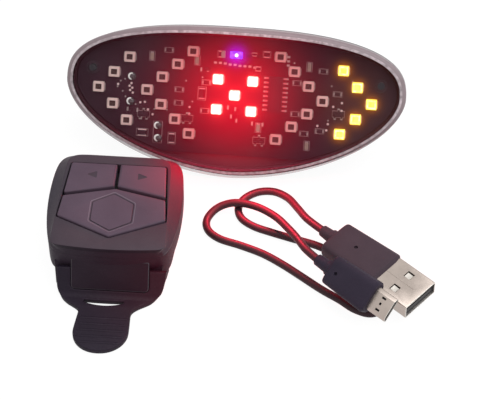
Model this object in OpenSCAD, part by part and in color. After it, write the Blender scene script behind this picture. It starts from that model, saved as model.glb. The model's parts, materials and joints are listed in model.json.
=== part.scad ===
// Bicycle turn signal light set: rear lamp, handlebar remote and charging lead, as laid on a table.
// Millimetres. X right, Y away from the viewer, Z up, the table top at z = 0.

/* [Lamp] */
// Width of the lamp's outline
lamp_w = 94.8; // [86:0.1:110]
// Height of the outline above its widest line
lamp_top = 16.95; // [15.5:0.05:22]
// Height of the outline below its widest line
lamp_low = 24.6; // [22:0.1:30]
// How far the middle of the lens stands in front of the joint with the case
lens_rise = 8.5; // [7.5:0.1:12]
// Wall of the lens
lens_wall = 1.8; // [1.4:0.1:2.2]
// Depth of the rear case behind the joint
case_depth = 12; // [11:0.1:18]
// Depth of the post saddle behind the case
saddle_depth = 13; // [11:0.1:16]
// Diameter of the seat post
post_d = 27.2; // [25.4:0.1:30]
// Length of the saddle along the post
saddle_len = 14.5; // [12:0.1:16]

/* [Remote] */
// Width of the remote
remote_w = 36.4; // [34:0.1:44]
// Depth of the remote from front to back
remote_d = 34.8; // [33:0.1:42]
// Height of the remote's key face above its feet
remote_h = 16.5; // [16:0.1:20]
// Diameter of the handlebar
bar_d = 22.2; // [20:0.1:24]
// Key travel
key_travel = 0.8; // [0.4:0.1:0.8]
// Thickness of the strap
strap_t = 2; // [1.6:0.1:2.2]
// Length of the strap that lies on the table
strap_len = 18.2; // [17:0.1:26]

/* [Charging lead] */
// Diameter of the cord
cord_d = 2.2; // [1.8:0.1:2.2]
// Length of the large plug's grip
grip_len = 18.7; // [16:0.1:20]
// Length of the small plug's grip
micro_grip_len = 14.6; // [13.5:0.1:17]

/* [Hidden] */
$fn = 48;
half_w = lamp_w / 2;
sx = lamp_w / 96;
sy = (lamp_top + lamp_low) / 42.2;
top_n = 2.63;
low_n = 1.76;
dome_r = 230;
rim_depth = 4;
back_inset = 8;
floor_t = 1.6;
board_top = 0.8;
board_t = 1.2;
board_low = board_top - board_t;
saddle_lo = -5.5;
saddle_foot = case_depth + saddle_depth;
post_r = post_d / 2;
pad_t = 1;
post_z = -case_depth - 2 - pad_t - post_r;
lamp_tilt = atan2(saddle_foot - rim_depth, saddle_lo + lamp_low);
lamp_yaw = -5.3;
lamp_z = lamp_low * sin(lamp_tilt) + rim_depth * cos(lamp_tilt);
set_x = 5.5;
set_y = 2.4;
lamp_pos = [-3.8 + set_x, 23.3 + set_y, lamp_z];
pat = [-0.3 * sx, -2 * sy];
screw_x = 40.8 * sx;
screw_y = 3.4 * sy;
led_h = 1.4;
saddle_half = post_r + 4.4;
saddle_mid = saddle_lo + saddle_len / 2;
screw_seat = 3.1;
screw_head = 1.2;
button_r = 3.55;
button_gap = 0.45;
port_gap = 4.1;
button_at = [saddle_half + button_gap + button_r, -2];
port_at = [button_at[0] + button_r + port_gap, 1];
cover_low = port_at[1] - 7;

remote_pos = [-36.6 + set_x, -13.3 + set_y, 0];
remote_yaw = -4.2;
rx = remote_w / 36.4;
ry = remote_d / 34.8;
base_z = remote_h - 8;
part_z = remote_h - 4;
key_z = remote_h - 2.75;
bar_r = bar_d / 2;
bar_z = base_z - 1.4 - pad_t - bar_r;
block_w = 29.2 * rx;
block_back = 16 * ry;
slant_top = -16.4 * ry;
slant_low = -19.7 * ry;
slant_z = strap_t + 0.9;
slant_rise = base_z + 0.1 - slant_z;
strap_y = strap_t * norm([slant_top - slant_low, slant_rise]) / slant_rise;
bend_y = slant_low - strap_y - 0.2;
root_w = 27.6 * rx;
tail_w = 12.1 * rx;
tab_w = 7.05 * rx;
shoulder_len = 4.4;

cord_r = cord_d / 2;
plug_tip = [45.15 + set_x, -39.95 + set_y, 5.85];
plug_yaw = -43.5;
micro_front = [32.4 + set_x, -42.6 + set_y, 10.07];
micro_yaw = -42.4;
micro_roll = 40;

// Signed power, for the outlines
function spow(v, p) = sign(v) * pow(abs(v), p);

// Lamp outline: two half superellipses joined on the widest line, drawn in by d
function lamp_pts(d, n = 80) = [for (i = [0 : n - 1]) let (t = 360 * i / n,
  e = sin(t) >= 0 ? top_n : low_n, b = sin(t) >= 0 ? lamp_top : lamp_low)
  [(half_w - d) * spow(cos(t), 2 / e), (b - d) * spow(sin(t), 2 / e)]];

// Remote outline: barrel-sided, round at the back corners, tight at the front ones, drawn in by dx and dy
function barrel(y) = 1 - 0.00037 * pow(y / ry - 2, 2);
function remote_pts(dx, dy, n = 88) = [for (i = [0 : n - 1]) let (t = 360 * i / n,
  e = sin(t) >= 0 ? 5.4 : 8, b = sin(t) >= 0 ? 17.2 : 17.6, y = (b * ry - dy) * spow(sin(t), 2 / e))
  [(remote_w / 2 - dx) * barrel(y) * spow(cos(t), 2 / e), y]];

module lamp_place() {
  translate(lamp_pos) rotate([0, 0, lamp_yaw]) rotate([lamp_tilt, 0, 0]) children();
}

module remote_place() {
  translate(remote_pos) rotate([0, 0, remote_yaw]) children();
}

// Large plug: X along the plug to its tip, Z up, origin at the tip
module plug_place() {
  translate(plug_tip) rotate([0, 0, plug_yaw]) children();
}

// Small plug: X along the plug, origin at the front of the grip
module micro_place() {
  translate(micro_front) rotate([0, 0, micro_yaw]) rotate([micro_roll, 0, 0]) children();
}

module lamp_slab(d, z0, z1) {
  translate([0, 0, z0]) linear_extrude(z1 - z0) polygon(lamp_pts(d));
}

module box(x0, x1, y0, y1, z0, z1) {
  translate([x0, y0, z0]) cube([x1 - x0, y1 - y0, z1 - z0]);
}

module screw_spots() {
  for (s = [-1, 1]) translate([s * screw_x, screw_y, 0]) children();
}

// Lamp

module lens() {
  color([0.9, 0.92, 0.95, 0.4]) lamp_place() difference() {
    union() {
      difference() {
        intersection() {
          lamp_slab(0, 0, lens_rise + 1);
          translate([0, 0, lens_rise - dome_r]) sphere(dome_r, $fn = 120);
        }
        intersection() {
          lamp_slab(lens_wall, -1, lens_rise + 1);
          translate([0, 0, lens_rise - lens_wall - dome_r]) sphere(dome_r, $fn = 120);
        }
      }
      screw_spots() translate([0, 0, board_top]) cylinder(r = 1.9, h = 3);
    }
    screw_spots() translate([0, 0, board_top - 1]) cylinder(r = 1, h = 3.2);
  }
}

module rear_case() {
  color([0.06, 0.06, 0.07]) lamp_place() difference() {
    union() {
      difference() {
        hull() {
          lamp_slab(0, -rim_depth, 0);
          lamp_slab(back_inset, -case_depth, -case_depth + 0.2);
        }
        lamp_slab(2.4, board_low, 1);
        lamp_slab(4.2, -case_depth / 2, 1);
        lamp_slab(back_inset + 0.4, floor_t - case_depth, 1);
        difference() {
          lamp_slab(0.6, -0.7, 1);
          lamp_slab(1.5, -1, 2);
        }
      }
      screw_spots() translate([0, 0, -6.4]) cylinder(r = 2.6, h = 6.4 + board_low);
      for (x = [-3.4, 3.4]) translate([port_at[0] + x, cover_low, -case_depth - 0.95])
        box(-0.5, 0.5, -0.95, 0.95, 0, 2.4);
    }
    screw_spots() translate([0, 0, -case_depth - 1]) cylinder(r = 1.95, h = case_depth + 1 - 6.4);
    screw_spots() translate([0, 0, -7]) cylinder(r = 1.15, h = 8);
    translate([port_at[0], port_at[1], -case_depth - 1]) box(-1.7, 1.7, -4.1, 4.1, 0, 3);
    translate([button_at[0], button_at[1], -case_depth - 1]) cylinder(r = button_r + 0.05, h = 3);
    for (s = [-1, 1])
      translate([s * 10, saddle_mid, -case_depth - 1]) cylinder(r = 1, h = 4);
    translate([port_at[0], cover_low, -case_depth - 0.4]) rotate([0, 90, 0]) {
      cylinder(r = 0.5, h = 7.8, center = true);
      cylinder(r = 0.85, h = 5.7, center = true);
    }
  }
}

module case_seal() {
  color([0.1, 0.1, 0.1]) lamp_place() difference() {
    lamp_slab(0.62, -0.7, 0);
    lamp_slab(1.48, -1, 1);
  }
}

module signal_board() {
  color([0.03, 0.03, 0.04]) lamp_place() difference() {
    intersection() {
      lamp_slab(2.7, board_low, board_top);
      box(-45.2 * sx, 45.2 * sx, -19.2 * sy, 15.2 * sy, -5, 5);
    }
    screw_spots() translate([0, 0, -5]) cylinder(r = 1.4, h = 10);
  }
}

module case_screws() {
  color([0.6, 0.6, 0.62]) lamp_place() screw_spots() {
    translate([0, 0, -6.4]) cylinder(r = 1, h = 6.4 + board_top + 2);
    difference() {
      translate([0, 0, -7.8]) cylinder(r = 1.8, h = 1.4);
      box(-0.25, 0.25, -1.2, 1.2, -8.5, -7.1);
      box(-1.2, 1.2, -0.25, 0.25, -8.5, -7.1);
    }
  }
}

// One arrow of light sources: n of them, apex at x, steps dx and dy back along both arms
function arrow(s, x, n, dx, dy) = [for (k = [-(n - 1) / 2 : (n - 1) / 2])
  [pat[0] + s * (x - abs(k) * dx) * sx, pat[1] + k * dy * sy]];
outer_left = arrow(-1, 38.7, 5, 4.21, 4.5);
outer_right = arrow(1, 38.7, 5, 4.21, 4.5);
inner_left = arrow(-1, 24.9, 7, 4.18, 3.91);
inner_right = arrow(1, 24.9, 7, 4.18, 3.91);
brake = [for (p = [[-4.9, 4.26], [4.9, 4.26], [0, 0], [-4.9, -4.26], [4.9, -4.26]])
  [pat[0] + p[0] * sx, pat[1] + p[1] * sy]];

module on_board(list) {
  for (p = list) translate([p[0], p[1], board_top]) children();
}

module emitter() {
  box(-0.85, 0.85, -0.75, 0.75, led_h - 0.5, led_h - 0.1);
}

module led_frames() {
  color([0.92, 0.86, 0.84]) lamp_place()
    on_board(concat(outer_left, inner_left, brake, inner_right, outer_right)) difference() {
      box(-1.6, 1.6, -1.4, 1.4, 0, led_h);
      box(-0.85, 0.85, -0.75, 0.75, led_h - 0.5, led_h + 1);
    }
}

module left_emitters() {
  color([0.25, 0.18, 0.1]) lamp_place() on_board(concat(outer_left, inner_left)) emitter();
}

module right_inner_emitters() {
  color([0.25, 0.18, 0.1]) lamp_place() on_board(inner_right) emitter();
}

module right_outer_emitters() {
  color([1, 0.75, 0.1]) lamp_place() on_board(outer_right) emitter();
}

module brake_emitters() {
  color([1, 0.1, 0.1]) lamp_place() on_board(brake) emitter();
}

module charge_led() {
  color([0.3, 0.2, 1]) lamp_place() on_board([[pat[0] - 0.2 * sx, pat[1] + 11.4 * sy]])
    box(-1, 1, -0.65, 0.65, 0, 0.7);
}

chip_at = [pat[0] + 11.5 * sx, pat[1] + 1 * sy];

module controller_chip() {
  color([0.08, 0.08, 0.09]) lamp_place() on_board([chip_at]) difference() {
    box(-1.95, 1.95, -4.95, 4.95, 0.15, 1.6);
    translate([1.2, 4.2, 1.5]) cylinder(r = 0.4, h = 1);
  }
}

module chip_leads() {
  color([0.75, 0.75, 0.76]) lamp_place() on_board([chip_at])
    for (s = [-1, 1], k = [-3.5 : 3.5]) translate([0, k * 1.27, 0]) {
      box(min(s * 1.95, s * 3), max(s * 1.95, s * 3), -0.2, 0.2, 0, 0.3);
    }
}

resistor_spots = [[-8.2, 6.9], [-8.2, 3.1], [-8.2, -5], [-15.8, 0.6], [-15.8, -3.2], [-19.3, 11.6],
  [3.4, 11.4], [6.4, 11.4], [17.4, 4.6], [17.4, -4.2], [20.2, -9.6], [24.6, -8.6], [24.6, 8.4], [29, 2.2]];
capacitor_spots = [[-3.9, 11.4], [-11.2, 9.2], [7.2, -8.8], [20.6, 9.4], [21.2, -13], [-24, 9.6]];
transistor_spots = [[-25.6, -7], [-13.2, -7.4], [7.6, -12.4], [29.6, -3.4]];

function from_pat(list) = [for (p = list) [pat[0] + p[0] * sx, pat[1] + p[1] * sy]];

module chip_resistors() {
  color([0.15, 0.15, 0.16]) lamp_place() on_board(from_pat(resistor_spots))
    box(-0.8, 0.8, -0.45, 0.45, 0, 0.45);
}

module chip_capacitors() {
  color([0.55, 0.42, 0.3]) lamp_place() on_board(from_pat(capacitor_spots))
    box(-0.5, 0.5, -0.9, 0.9, 0, 0.8);
}

module transistors() {
  color([0.1, 0.1, 0.1]) lamp_place() on_board(from_pat(transistor_spots)) {
    box(-1.45, 1.45, -0.65, 0.65, 0.1, 1.1);
    for (x = [-0.95, 0.95]) box(x - 0.2, x + 0.2, -1.2, -0.65, 0, 0.3);
    box(-0.2, 0.2, 0.65, 1.2, 0, 0.3);
  }
}

joint_spots = [[-29.4, 3.5], [-29.5, -3.6], [-21.3, -10], [-21.1, -13.6]];

module solder_joints() {
  color([0.8, 0.8, 0.82]) lamp_place() on_board(from_pat(joint_spots)) intersection() {
    translate([0, 0, -0.55]) sphere(1.25);
    box(-2, 2, -2, 2, 0, 2);
  }
}

module usb_socket() {
  color([0.75, 0.75, 0.76]) lamp_place() translate([port_at[0], port_at[1], 0]) difference() {
    box(-1.45, 1.45, -3.8, 3.8, 0.8 - case_depth, board_low);
    box(-1.1, 1.1, -3.45, 3.45, -case_depth, -case_depth + 6);
  }
}

module usb_socket_tongue() {
  color([0.05, 0.05, 0.05]) lamp_place() translate([port_at[0], port_at[1], 0])
    box(0.3, 0.9, -2, 2, 2.5 - case_depth, 6 - case_depth);
}

// The cover lies on the case, with a plug that reaches into the socket's opening
module port_cover() {
  color([0.07, 0.07, 0.07]) lamp_place() translate([port_at[0], 0, -case_depth]) difference() {
    union() {
      box(-2.6, 2.6, cover_low - 0.01, port_at[1] + 5, -1.1, 0);
      translate([0, port_at[1], 0]) box(-1.3, 1.3, -3, 3.5, -0.1, 0.7);
      translate([0, cover_low, -0.4]) rotate([0, 90, 0]) cylinder(r = 0.7, h = 5.2, center = true);
    }
    translate([0, cover_low, -0.4]) rotate([0, 90, 0]) cylinder(r = 0.55, h = 6, center = true);
  }
}

module cover_pin() {
  color([0.7, 0.7, 0.7]) lamp_place() translate([port_at[0], cover_low, -case_depth - 0.4])
    rotate([0, 90, 0]) cylinder(r = 0.5, h = 7.8, center = true);
}

module power_switch() {
  color([0.1, 0.1, 0.1]) lamp_place() translate([button_at[0], button_at[1], 0]) {
    box(-3, 3, -3, 3, board_low - 3.4, board_low);
    translate([0, 0, 2.9 - case_depth]) cylinder(r = 1.7, h = case_depth - 2.9 + board_low - 3.4);
  }
}

module power_button() {
  color([0.12, 0.12, 0.12]) lamp_place() translate([button_at[0], button_at[1], -case_depth]) {
    translate([0, 0, -0.7]) cylinder(r = button_r, h = 2.4);
    translate([0, 0, 1.65]) cylinder(r = button_r + 0.85, h = 0.5);
  }
}

module battery() {
  color([0.7, 0.7, 0.72]) lamp_place() box(-26 * sx, 10 * sx, -10 * sy, 5 * sy, floor_t - case_depth, -5.8);
}

module battery_leads() {
  color([0.7, 0.1, 0.1]) lamp_place() for (i = [2, 3])
    translate([pat[0] + joint_spots[i][0] * sx, pat[1] + joint_spots[i][1] * sy, 0]) {
      translate([0, 0, -4.6]) cylinder(r = 0.5, h = 4.6 + board_low);
      translate([0, 0, -4.6]) sphere(0.5);
      translate([0, 0, -4.6]) rotate([0, 0, i == 3 ? -35 : 0]) rotate([-90, 0, 0])
        cylinder(r = 0.5, h = i == 3 ? 7.6 : 4);
    }
}

module saddle_block(x) {
  translate([-x, saddle_lo, -saddle_foot]) cube([2 * x, saddle_len, saddle_depth]);
}

module post_bore(r) {
  translate([0, -60, post_z]) rotate([-90, 0, 0]) cylinder(r = r, h = 120, $fn = 96);
}

module post_saddle() {
  color([0.07, 0.07, 0.08]) lamp_place() difference() {
    union() {
      saddle_block(saddle_half);
      for (s = [-1, 1]) translate([s * saddle_half, saddle_mid, 0.5 - case_depth - 6])
        box(-2.2, 2.2, -4.5, 4.5, 0, 2.4);
    }
    post_bore(post_r + pad_t);
    for (s = [-1, 1]) translate([s * 10, saddle_mid, -case_depth]) {
      translate([0, 0, -screw_seat - 1]) cylinder(r = 1.15, h = screw_seat + 2);
      translate([0, 0, -30]) cylinder(r = 2.2, h = 30 - screw_seat);
    }
  }
}

module saddle_pad() {
  color([0.1, 0.1, 0.1]) lamp_place() difference() {
    intersection() {
      post_bore(post_r + pad_t);
      translate([-50, saddle_lo, -saddle_foot]) cube([100, saddle_len, saddle_depth]);
    }
    post_bore(post_r);
  }
}

module saddle_screws() {
  color([0.6, 0.6, 0.62]) lamp_place() for (s = [-1, 1])
    translate([s * 10, saddle_mid, -case_depth]) {
      translate([0, 0, -screw_seat]) cylinder(r = 1, h = screw_seat + 1.4);
      translate([0, 0, -screw_seat - screw_head]) cylinder(r = 1.9, h = screw_head);
    }
}

// Remote

module key_slab(points, z0, z1) {
  translate([0, 0, z0]) linear_extrude(z1 - z0) polygon([for (p = points) [p[0] * rx, p[1] * ry]]);
}

opening = [[-13.25, 12.05], [13.25, 12.05], [14.95, -7.5], [0, -14.1], [-14.95, -7.5]];

module remote_screw_spots() {
  for (s = [-1, 1]) translate([s * (remote_w / 2 - 2.45), 1.5, 0]) children();
}

module remote_top() {
  color([0.08, 0.08, 0.09]) remote_place() difference() {
    union() {
      difference() {
        hull() {
          translate([0, 0, part_z]) linear_extrude(1.2) polygon(remote_pts(0, 0));
          translate([0, -1.3, remote_h - 0.3]) linear_extrude(0.3) polygon(remote_pts(1.6, 0.7));
        }
        translate([0, 0, part_z - 1]) linear_extrude(3.15) polygon(remote_pts(2.2, 2.2));
      }
      remote_screw_spots() translate([0, 0, part_z]) cylinder(r = 1.45, h = 2.2);
    }
    key_slab(opening, part_z, remote_h + 1);
    remote_screw_spots() translate([0, 0, part_z - 1]) cylinder(r = 0.7, h = 2.8);
  }
}

// Side view of the saddle block: its front leans out downwards, the lower edge cut back for the strap
function slant(z) = slant_low + (slant_top - slant_low) * (z - slant_z) / slant_rise;

module block_side() {
  polygon([[block_back, base_z + 0.1], [slant_top, base_z + 0.1], [slant_low, slant_z],
    [slant_low + 3.2, 0], [block_back, 0]]);
}

// A strip of the strap's thickness on the leaning front, from z0 to z1, sunk into the block by d
module slant_strip(z0, z1, d = 0) {
  polygon([[slant(z0) + d, z0], [slant(z0) - strap_y, z0], [slant(z1) - strap_y, z1], [slant(z1) + d, z1]]);
}

// Plan of the saddle block, drawn in towards the front
block_half = [[15.6, 17], [15.6, -10], [15.2, -13.5], [14.6, -16.5], [13.8, -21]];
block_plan = concat([for (p = block_half) [p[0] * rx, p[1] * ry]],
  [for (i = [len(block_half) - 1 : -1 : 0]) [-block_half[i][0] * rx, block_half[i][1] * ry]]);

module along_bar(h) {
  rotate([90, 0, 90]) linear_extrude(h, center = true) children();
}

module bar_bore(r) {
  translate([0, 0, bar_z]) rotate([0, 90, 0]) cylinder(r = r, h = 80, center = true, $fn = 96);
}

module remote_base() {
  color([0.08, 0.08, 0.09]) remote_place() difference() {
    union() {
      hull() {
        translate([0, 0, base_z]) linear_extrude(0.2) polygon(remote_pts(0.8, 0.8));
        translate([0, 0, base_z + 1.2]) linear_extrude(2.8) polygon(remote_pts(0.25, 0.25));
      }
      intersection() {
        along_bar(block_w + 3) block_side();
        linear_extrude(base_z + 1) polygon(block_plan);
      }
      along_bar(18.8 * rx) slant_strip(slant_z + 1, base_z + 0.1, 0.5);
      box(-6, 6, block_back - 0.5, block_back + 2, 3.2, 4.8);
      box(-6, 6, block_back + 1.2, block_back + 2, 3.2, 6.2);
    }
    translate([0, 0, base_z + 1]) linear_extrude(5) polygon(remote_pts(4.9, 3.1));
    translate([0, 0, mat_z - 0.8]) linear_extrude(5) polygon(remote_pts(2.4, 2.4));
    bar_bore(bar_r + pad_t);
    remote_screw_spots() {
      translate([0, 0, base_z - 1]) cylinder(r = 0.8, h = 8);
      translate([0, 0, base_z - 1]) cylinder(r = 1.25, h = 2);
    }
  }
}

module key_body(points, flange) {
  key_slab(points, key_z + 0.8, remote_h + 0.4);
  key_slab(flange, key_z, key_z + 0.81);
}

module turn_key(s) {
  difference() {
    key_body([[s * 0.45, 11.8], [s * 12.95, 11.8], [s * 13.85, 0.75], [s * 0.45, 3.95]],
      [[s * 0.45, 12.3], [s * 13.3, 12.3], [s * 14.25, 0.75], [s * 0.45, 3.95]]);
    key_slab([[s * 9, 8], [s * 5.2, 9.6], [s * 5.2, 6.4]], remote_h + 0.15, remote_h + 1);
  }
}

module left_button() {
  color([0.1, 0.1, 0.11]) remote_place() turn_key(-1);
}

module right_button() {
  color([0.1, 0.1, 0.11]) remote_place() turn_key(1);
}

function hexagon(r) = [for (i = [0 : 5]) [r * sin(60 * i), r * cos(60 * i) - 5.35]];

module mode_button() {
  color([0.1, 0.1, 0.11]) remote_place() difference() {
    key_body([[0, 3.05], [13.9, -0.2], [14.6, -7.3], [0, -13.75], [-14.6, -7.3], [-13.9, -0.2]],
      [[0, 3.05], [14.3, -0.2], [15.2, -7.5], [0, -14.4], [-15.2, -7.5], [-14.3, -0.2]]);
    difference() {
      key_slab(hexagon(6.6), remote_h + 0.1, remote_h + 1);
      key_slab(hexagon(5.8), remote_h, remote_h + 2);
    }
  }
}

switch_spots = [[-7 * rx, 7 * ry], [7 * rx, 7 * ry], [0, -5 * ry]];
mat_z = part_z - 0.1;

module key_mat() {
  color([0.25, 0.25, 0.26]) remote_place() translate([0, 0, mat_z]) linear_extrude(0.3) difference() {
    polygon(remote_pts(4.6, 2.8));
    for (p = switch_spots) translate(p) square([5.4, 5.4], center = true);
  }
}

module remote_board() {
  color([0.05, 0.2, 0.1]) remote_place() translate([0, 0, mat_z - 0.8]) linear_extrude(0.8)
    polygon(remote_pts(4.4, 2.6));
}

module remote_switches() {
  color([0.7, 0.7, 0.72]) remote_place() for (p = switch_spots) translate([p[0], p[1], mat_z]) {
    box(-2.6, 2.6, -2.6, 2.6, 0, 0.3);
    cylinder(r = 1.5, h = 0.4);
  }
}

module radio_chip() {
  color([0.06, 0.06, 0.06]) remote_place() box(-12.6 * rx, -10 * rx, -3.5, 0.5, mat_z - 1.9, mat_z - 0.8);
}

module coin_cell() {
  color([0.78, 0.78, 0.8]) remote_place() translate([1.5, 0, base_z + 1]) {
    cylinder(r = 10, h = 1.2, $fn = 96);
    translate([0, 0, 1.2]) cylinder(r = 8.6, h = 0.4, $fn = 96);
  }
}

module cell_clip() {
  color([0.8, 0.78, 0.7]) remote_place() {
    box(-3, 6, -2, 2, base_z + 2.6, mat_z - 0.8);
  }
}

module remote_screws() {
  color([0.6, 0.6, 0.62]) remote_place() remote_screw_spots() {
    translate([0, 0, base_z]) cylinder(r = 1.2, h = 1);
    translate([0, 0, base_z + 1]) cylinder(r = 0.7, h = part_z + 1.6 - base_z - 1);
  }
}

module remote_pad() {
  color([0.12, 0.12, 0.12]) remote_place() difference() {
    intersection() {
      bar_bore(bar_r + pad_t);
      box(-block_w / 2, block_w / 2, -40, 40, 0, base_z);
    }
    bar_bore(bar_r);
  }
}

module strap_root() {
  color([0.09, 0.09, 0.09]) remote_place() difference() {
    along_bar(root_w) slant_strip(slant_z, base_z - 0.05);
    box(-9.5 * rx, 9.5 * rx, -40, 0, slant_z + 0.9, base_z + 1);
  }
}

// Outline of the strap on the table: shoulders drawn in to a tab with a round end
function shoulder(i) = [tab_w + (tail_w - tab_w) * pow(cos(90 * i / 8), 1.3), shoulder_len * i / 8];
function tab_end(i) = [tab_w * cos(15 * i), strap_len - tab_w + tab_w * sin(15 * i)];
tail_half = concat([for (i = [0 : 8]) shoulder(i)], [for (i = [0 : 6]) tab_end(i)]);
tail_pts = concat(tail_half, [for (i = [len(tail_half) - 2 : -1 : 0]) [-tail_half[i][0], tail_half[i][1]]]);
slot_pts = concat([for (i = [-6 : 6]) [0.88 * i, 3.6 - i * i / 24]], [[5.28, 0.9], [-5.28, 0.9]]);

module strap_tail() {
  color([0.09, 0.09, 0.09]) remote_place() translate([0, bend_y, 0.2]) rotate([0, 0, 180]) {
    difference() {
      linear_extrude(strap_t) polygon(tail_pts);
      translate([0, 0, -1]) linear_extrude(strap_t + 2) polygon(slot_pts);
    }
    for (k = [0 : 3]) translate([0, 7.7 + k * 2.2, strap_t]) rotate([0, 90, 0])
      cylinder(r = 0.5, h = 10.5, center = true, $fn = 24);
  }
}

// Charging lead

// Hand-set points of the lead's route, from the small plug to the large one
route = [[17.93, -29.38, 10.07], [15, -25.4, 9.4], [12.9, -21, 8.4], [10.6, -16.5, 7.1],
  [7, -10.8, 5.6], [1.8, -6.2, 4.4], [-4, -3.9, 3.4], [-8.8, -4.5, 2.1], [-11.8, -7.8, 1.2],
  [-11.6, -11.8, 1.2], [-8.4, -15, 1.2], [-2.6, -17.4, 1.2], [3.6, -20.4, 1.2], [9, -24.2, 1.2],
  [14.2, -28.5, 1.2], [19.2, -33.1, 1.7], [24, -36.9, 2.1], [28, -39.8, 1.7], [32.4, -40.8, 1.2],
  [36.4, -38.4, 1.2], [37.5, -34, 1.2], [35, -29.2, 1.2], [30, -24.8, 1.2], [24, -20.8, 1.2],
  [18.2, -17.4, 1.2], [12, -15.1, 1.2], [6, -12.8, 1.2], [1, -10.6, 1.2], [-2.4, -7.6, 1.2],
  [-3.2, -3.8, 1.2], [-1.4, -0.4, 1.2], [2.4, 1.9, 1.2], [6.8, 1.9, 1.3], [10.6, -0.9, 1.9],
  [13.2, -5.7, 3.2], [15.7, -10.8, 4.7], [19.76, -15.86, 5.85]];

// A smooth curve through the points
function along(a, b, c, d, t) = 0.5 * (2 * b + (c - a) * t + (2 * a - 5 * b + 4 * c - d) * t * t
  + (3 * b - 3 * c + d - a) * t * t * t);
last = len(route) - 1;
function pick(i) = route[max(0, min(last, i))];
path = concat(
  [for (i = [0 : last - 1], t = [0, 0.5]) along(pick(i - 1), pick(i), pick(i + 1), pick(i + 2), t)],
  [route[last]]);
function unit(v) = v / norm(v);
function heading(i) = unit(path[min(len(path) - 1, i + 1)] - path[max(0, i - 1)]);

module lead_cord() {
  rings = len(path);
  sides = 8;
  pts = [for (i = [0 : rings - 1]) let (h = heading(i), s = unit(cross(h, [0, 0, 1])), u = cross(s, h))
    for (k = [0 : sides - 1]) path[i] + cord_r * (cos(45 * k) * s + sin(45 * k) * u)];
  skin = [for (i = [0 : rings - 2], k = [0 : sides - 1])
    [i * sides + k, i * sides + (k + 1) % sides, (i + 1) * sides + (k + 1) % sides, (i + 1) * sides + k]];
  ends = [[for (k = [sides - 1 : -1 : 0]) k], [for (k = [0 : sides - 1]) (rings - 1) * sides + k]];
  color([0.06, 0.06, 0.06]) translate([set_x, set_y, 0]) polyhedron(pts, concat(skin, ends));
}

// A grip: rounded block along X from x0 to x1, drawn in to the rear, with a round relief behind it
module grip(x0, x1, w, t, rear, relief) {
  b = rear * w / 2;
  c = rear * t / 2;
  intersection() {
    translate([x0, 0, 0]) rotate([90, 0, 90]) linear_extrude(x1 - x0) polygon([for (i = [0 : 35])
      [w / 2 * spow(cos(10 * i), 0.45), t / 2 * spow(sin(10 * i), 0.45)]]);
    linear_extrude(t + 2, center = true) polygon([[x0, b - 1], [x0 + 1, b], [x1, w / 2],
      [x1, -w / 2], [x0 + 1, -b], [x0, 1 - b]]);
    rotate([90, 0, 0]) linear_extrude(w + 2, center = true) polygon([[x0, c], [x1, t / 2],
      [x1, -t / 2], [x0, -c]]);
  }
  translate([x0 - relief, 0, 0]) rotate([0, 90, 0])
    cylinder(r1 = cord_r + 0.6, r2 = cord_r + 1.1, h = relief);
}

module usb_a_overmould() {
  color([0.06, 0.06, 0.06]) plug_place() difference() {
    grip(-12 - grip_len, -12, 13.5, 6.4, 0.83, 4.3);
    translate([-12 - grip_len * 0.585, 0, 2.6]) cylinder(r = 0.55, h = 1);
  }
}

module usb_a_shell() {
  color([0.8, 0.8, 0.82]) plug_place() difference() {
    box(-12, 0, -6, 6, -2.25, 2.25);
    box(-12.5, 1, -5.7, 5.7, -1.95, 1.95);
    for (s = [-1, 1]) box(-7.6, -5.4, s * 2.9 - 1.1, s * 2.9 + 1.1, -3, 3);
  }
}

module usb_a_tongue() {
  color([0.08, 0.08, 0.09]) plug_place() box(-12, -0.6, -5.7, 5.7, -1.95, -0.1);
}

module usb_a_contacts() {
  color([0.85, 0.7, 0.3]) plug_place()
    for (y = [-3.5, -1, 1, 3.5]) box(-9, -1.2, y - 0.5, y + 0.5, -0.1, 0.1);
}

module micro_overmould() {
  color([0.06, 0.06, 0.06]) micro_place() difference() {
    grip(-micro_grip_len, 0, 9.4, 6, 0.88, 5);
    translate([-micro_grip_len * 0.8, 0, 2.4]) cylinder(r = 0.5, h = 1);
  }
}

// The small plug's shell, with its two lower corners cut
function micro_face(d) = [[-3.42 + d, 0.9 - d], [3.42 - d, 0.9 - d], [3.42 - d, -0.1],
  [2.6 - d, -0.9 + d], [-2.6 + d, -0.9 + d], [-3.42 + d, -0.1]];

module micro_shell() {
  color([0.8, 0.8, 0.82]) micro_place() rotate([90, 0, 90]) difference() {
    linear_extrude(6) polygon(micro_face(0));
    translate([0, 0, -1]) linear_extrude(8) polygon(micro_face(0.25));
  }
}

module micro_tongue() {
  color([0.05, 0.05, 0.05]) micro_place() box(0, 5.4, -2, 2, -0.65, -0.05);
}

lens();
rear_case();
case_seal();
signal_board();
case_screws();
led_frames();
left_emitters();
right_inner_emitters();
right_outer_emitters();
brake_emitters();
charge_led();
controller_chip();
chip_leads();
chip_resistors();
chip_capacitors();
transistors();
solder_joints();
usb_socket();
usb_socket_tongue();
port_cover();
cover_pin();
power_switch();
power_button();
battery();
battery_leads();
post_saddle();
saddle_pad();
saddle_screws();
remote_top();
remote_base();
left_button();
right_button();
mode_button();
key_mat();
remote_board();
remote_switches();
radio_chip();
coin_cell();
cell_clip();
remote_screws();
remote_pad();
strap_root();
strap_tail();
lead_cord();
usb_a_overmould();
usb_a_shell();
usb_a_tongue();
usb_a_contacts();
micro_overmould();
micro_shell();
micro_tongue();
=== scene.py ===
import json
import math

import bmesh
import bpy
import numpy as np
from mathutils import Matrix, Vector
from mathutils.geometry import tessellate_polygon

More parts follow.
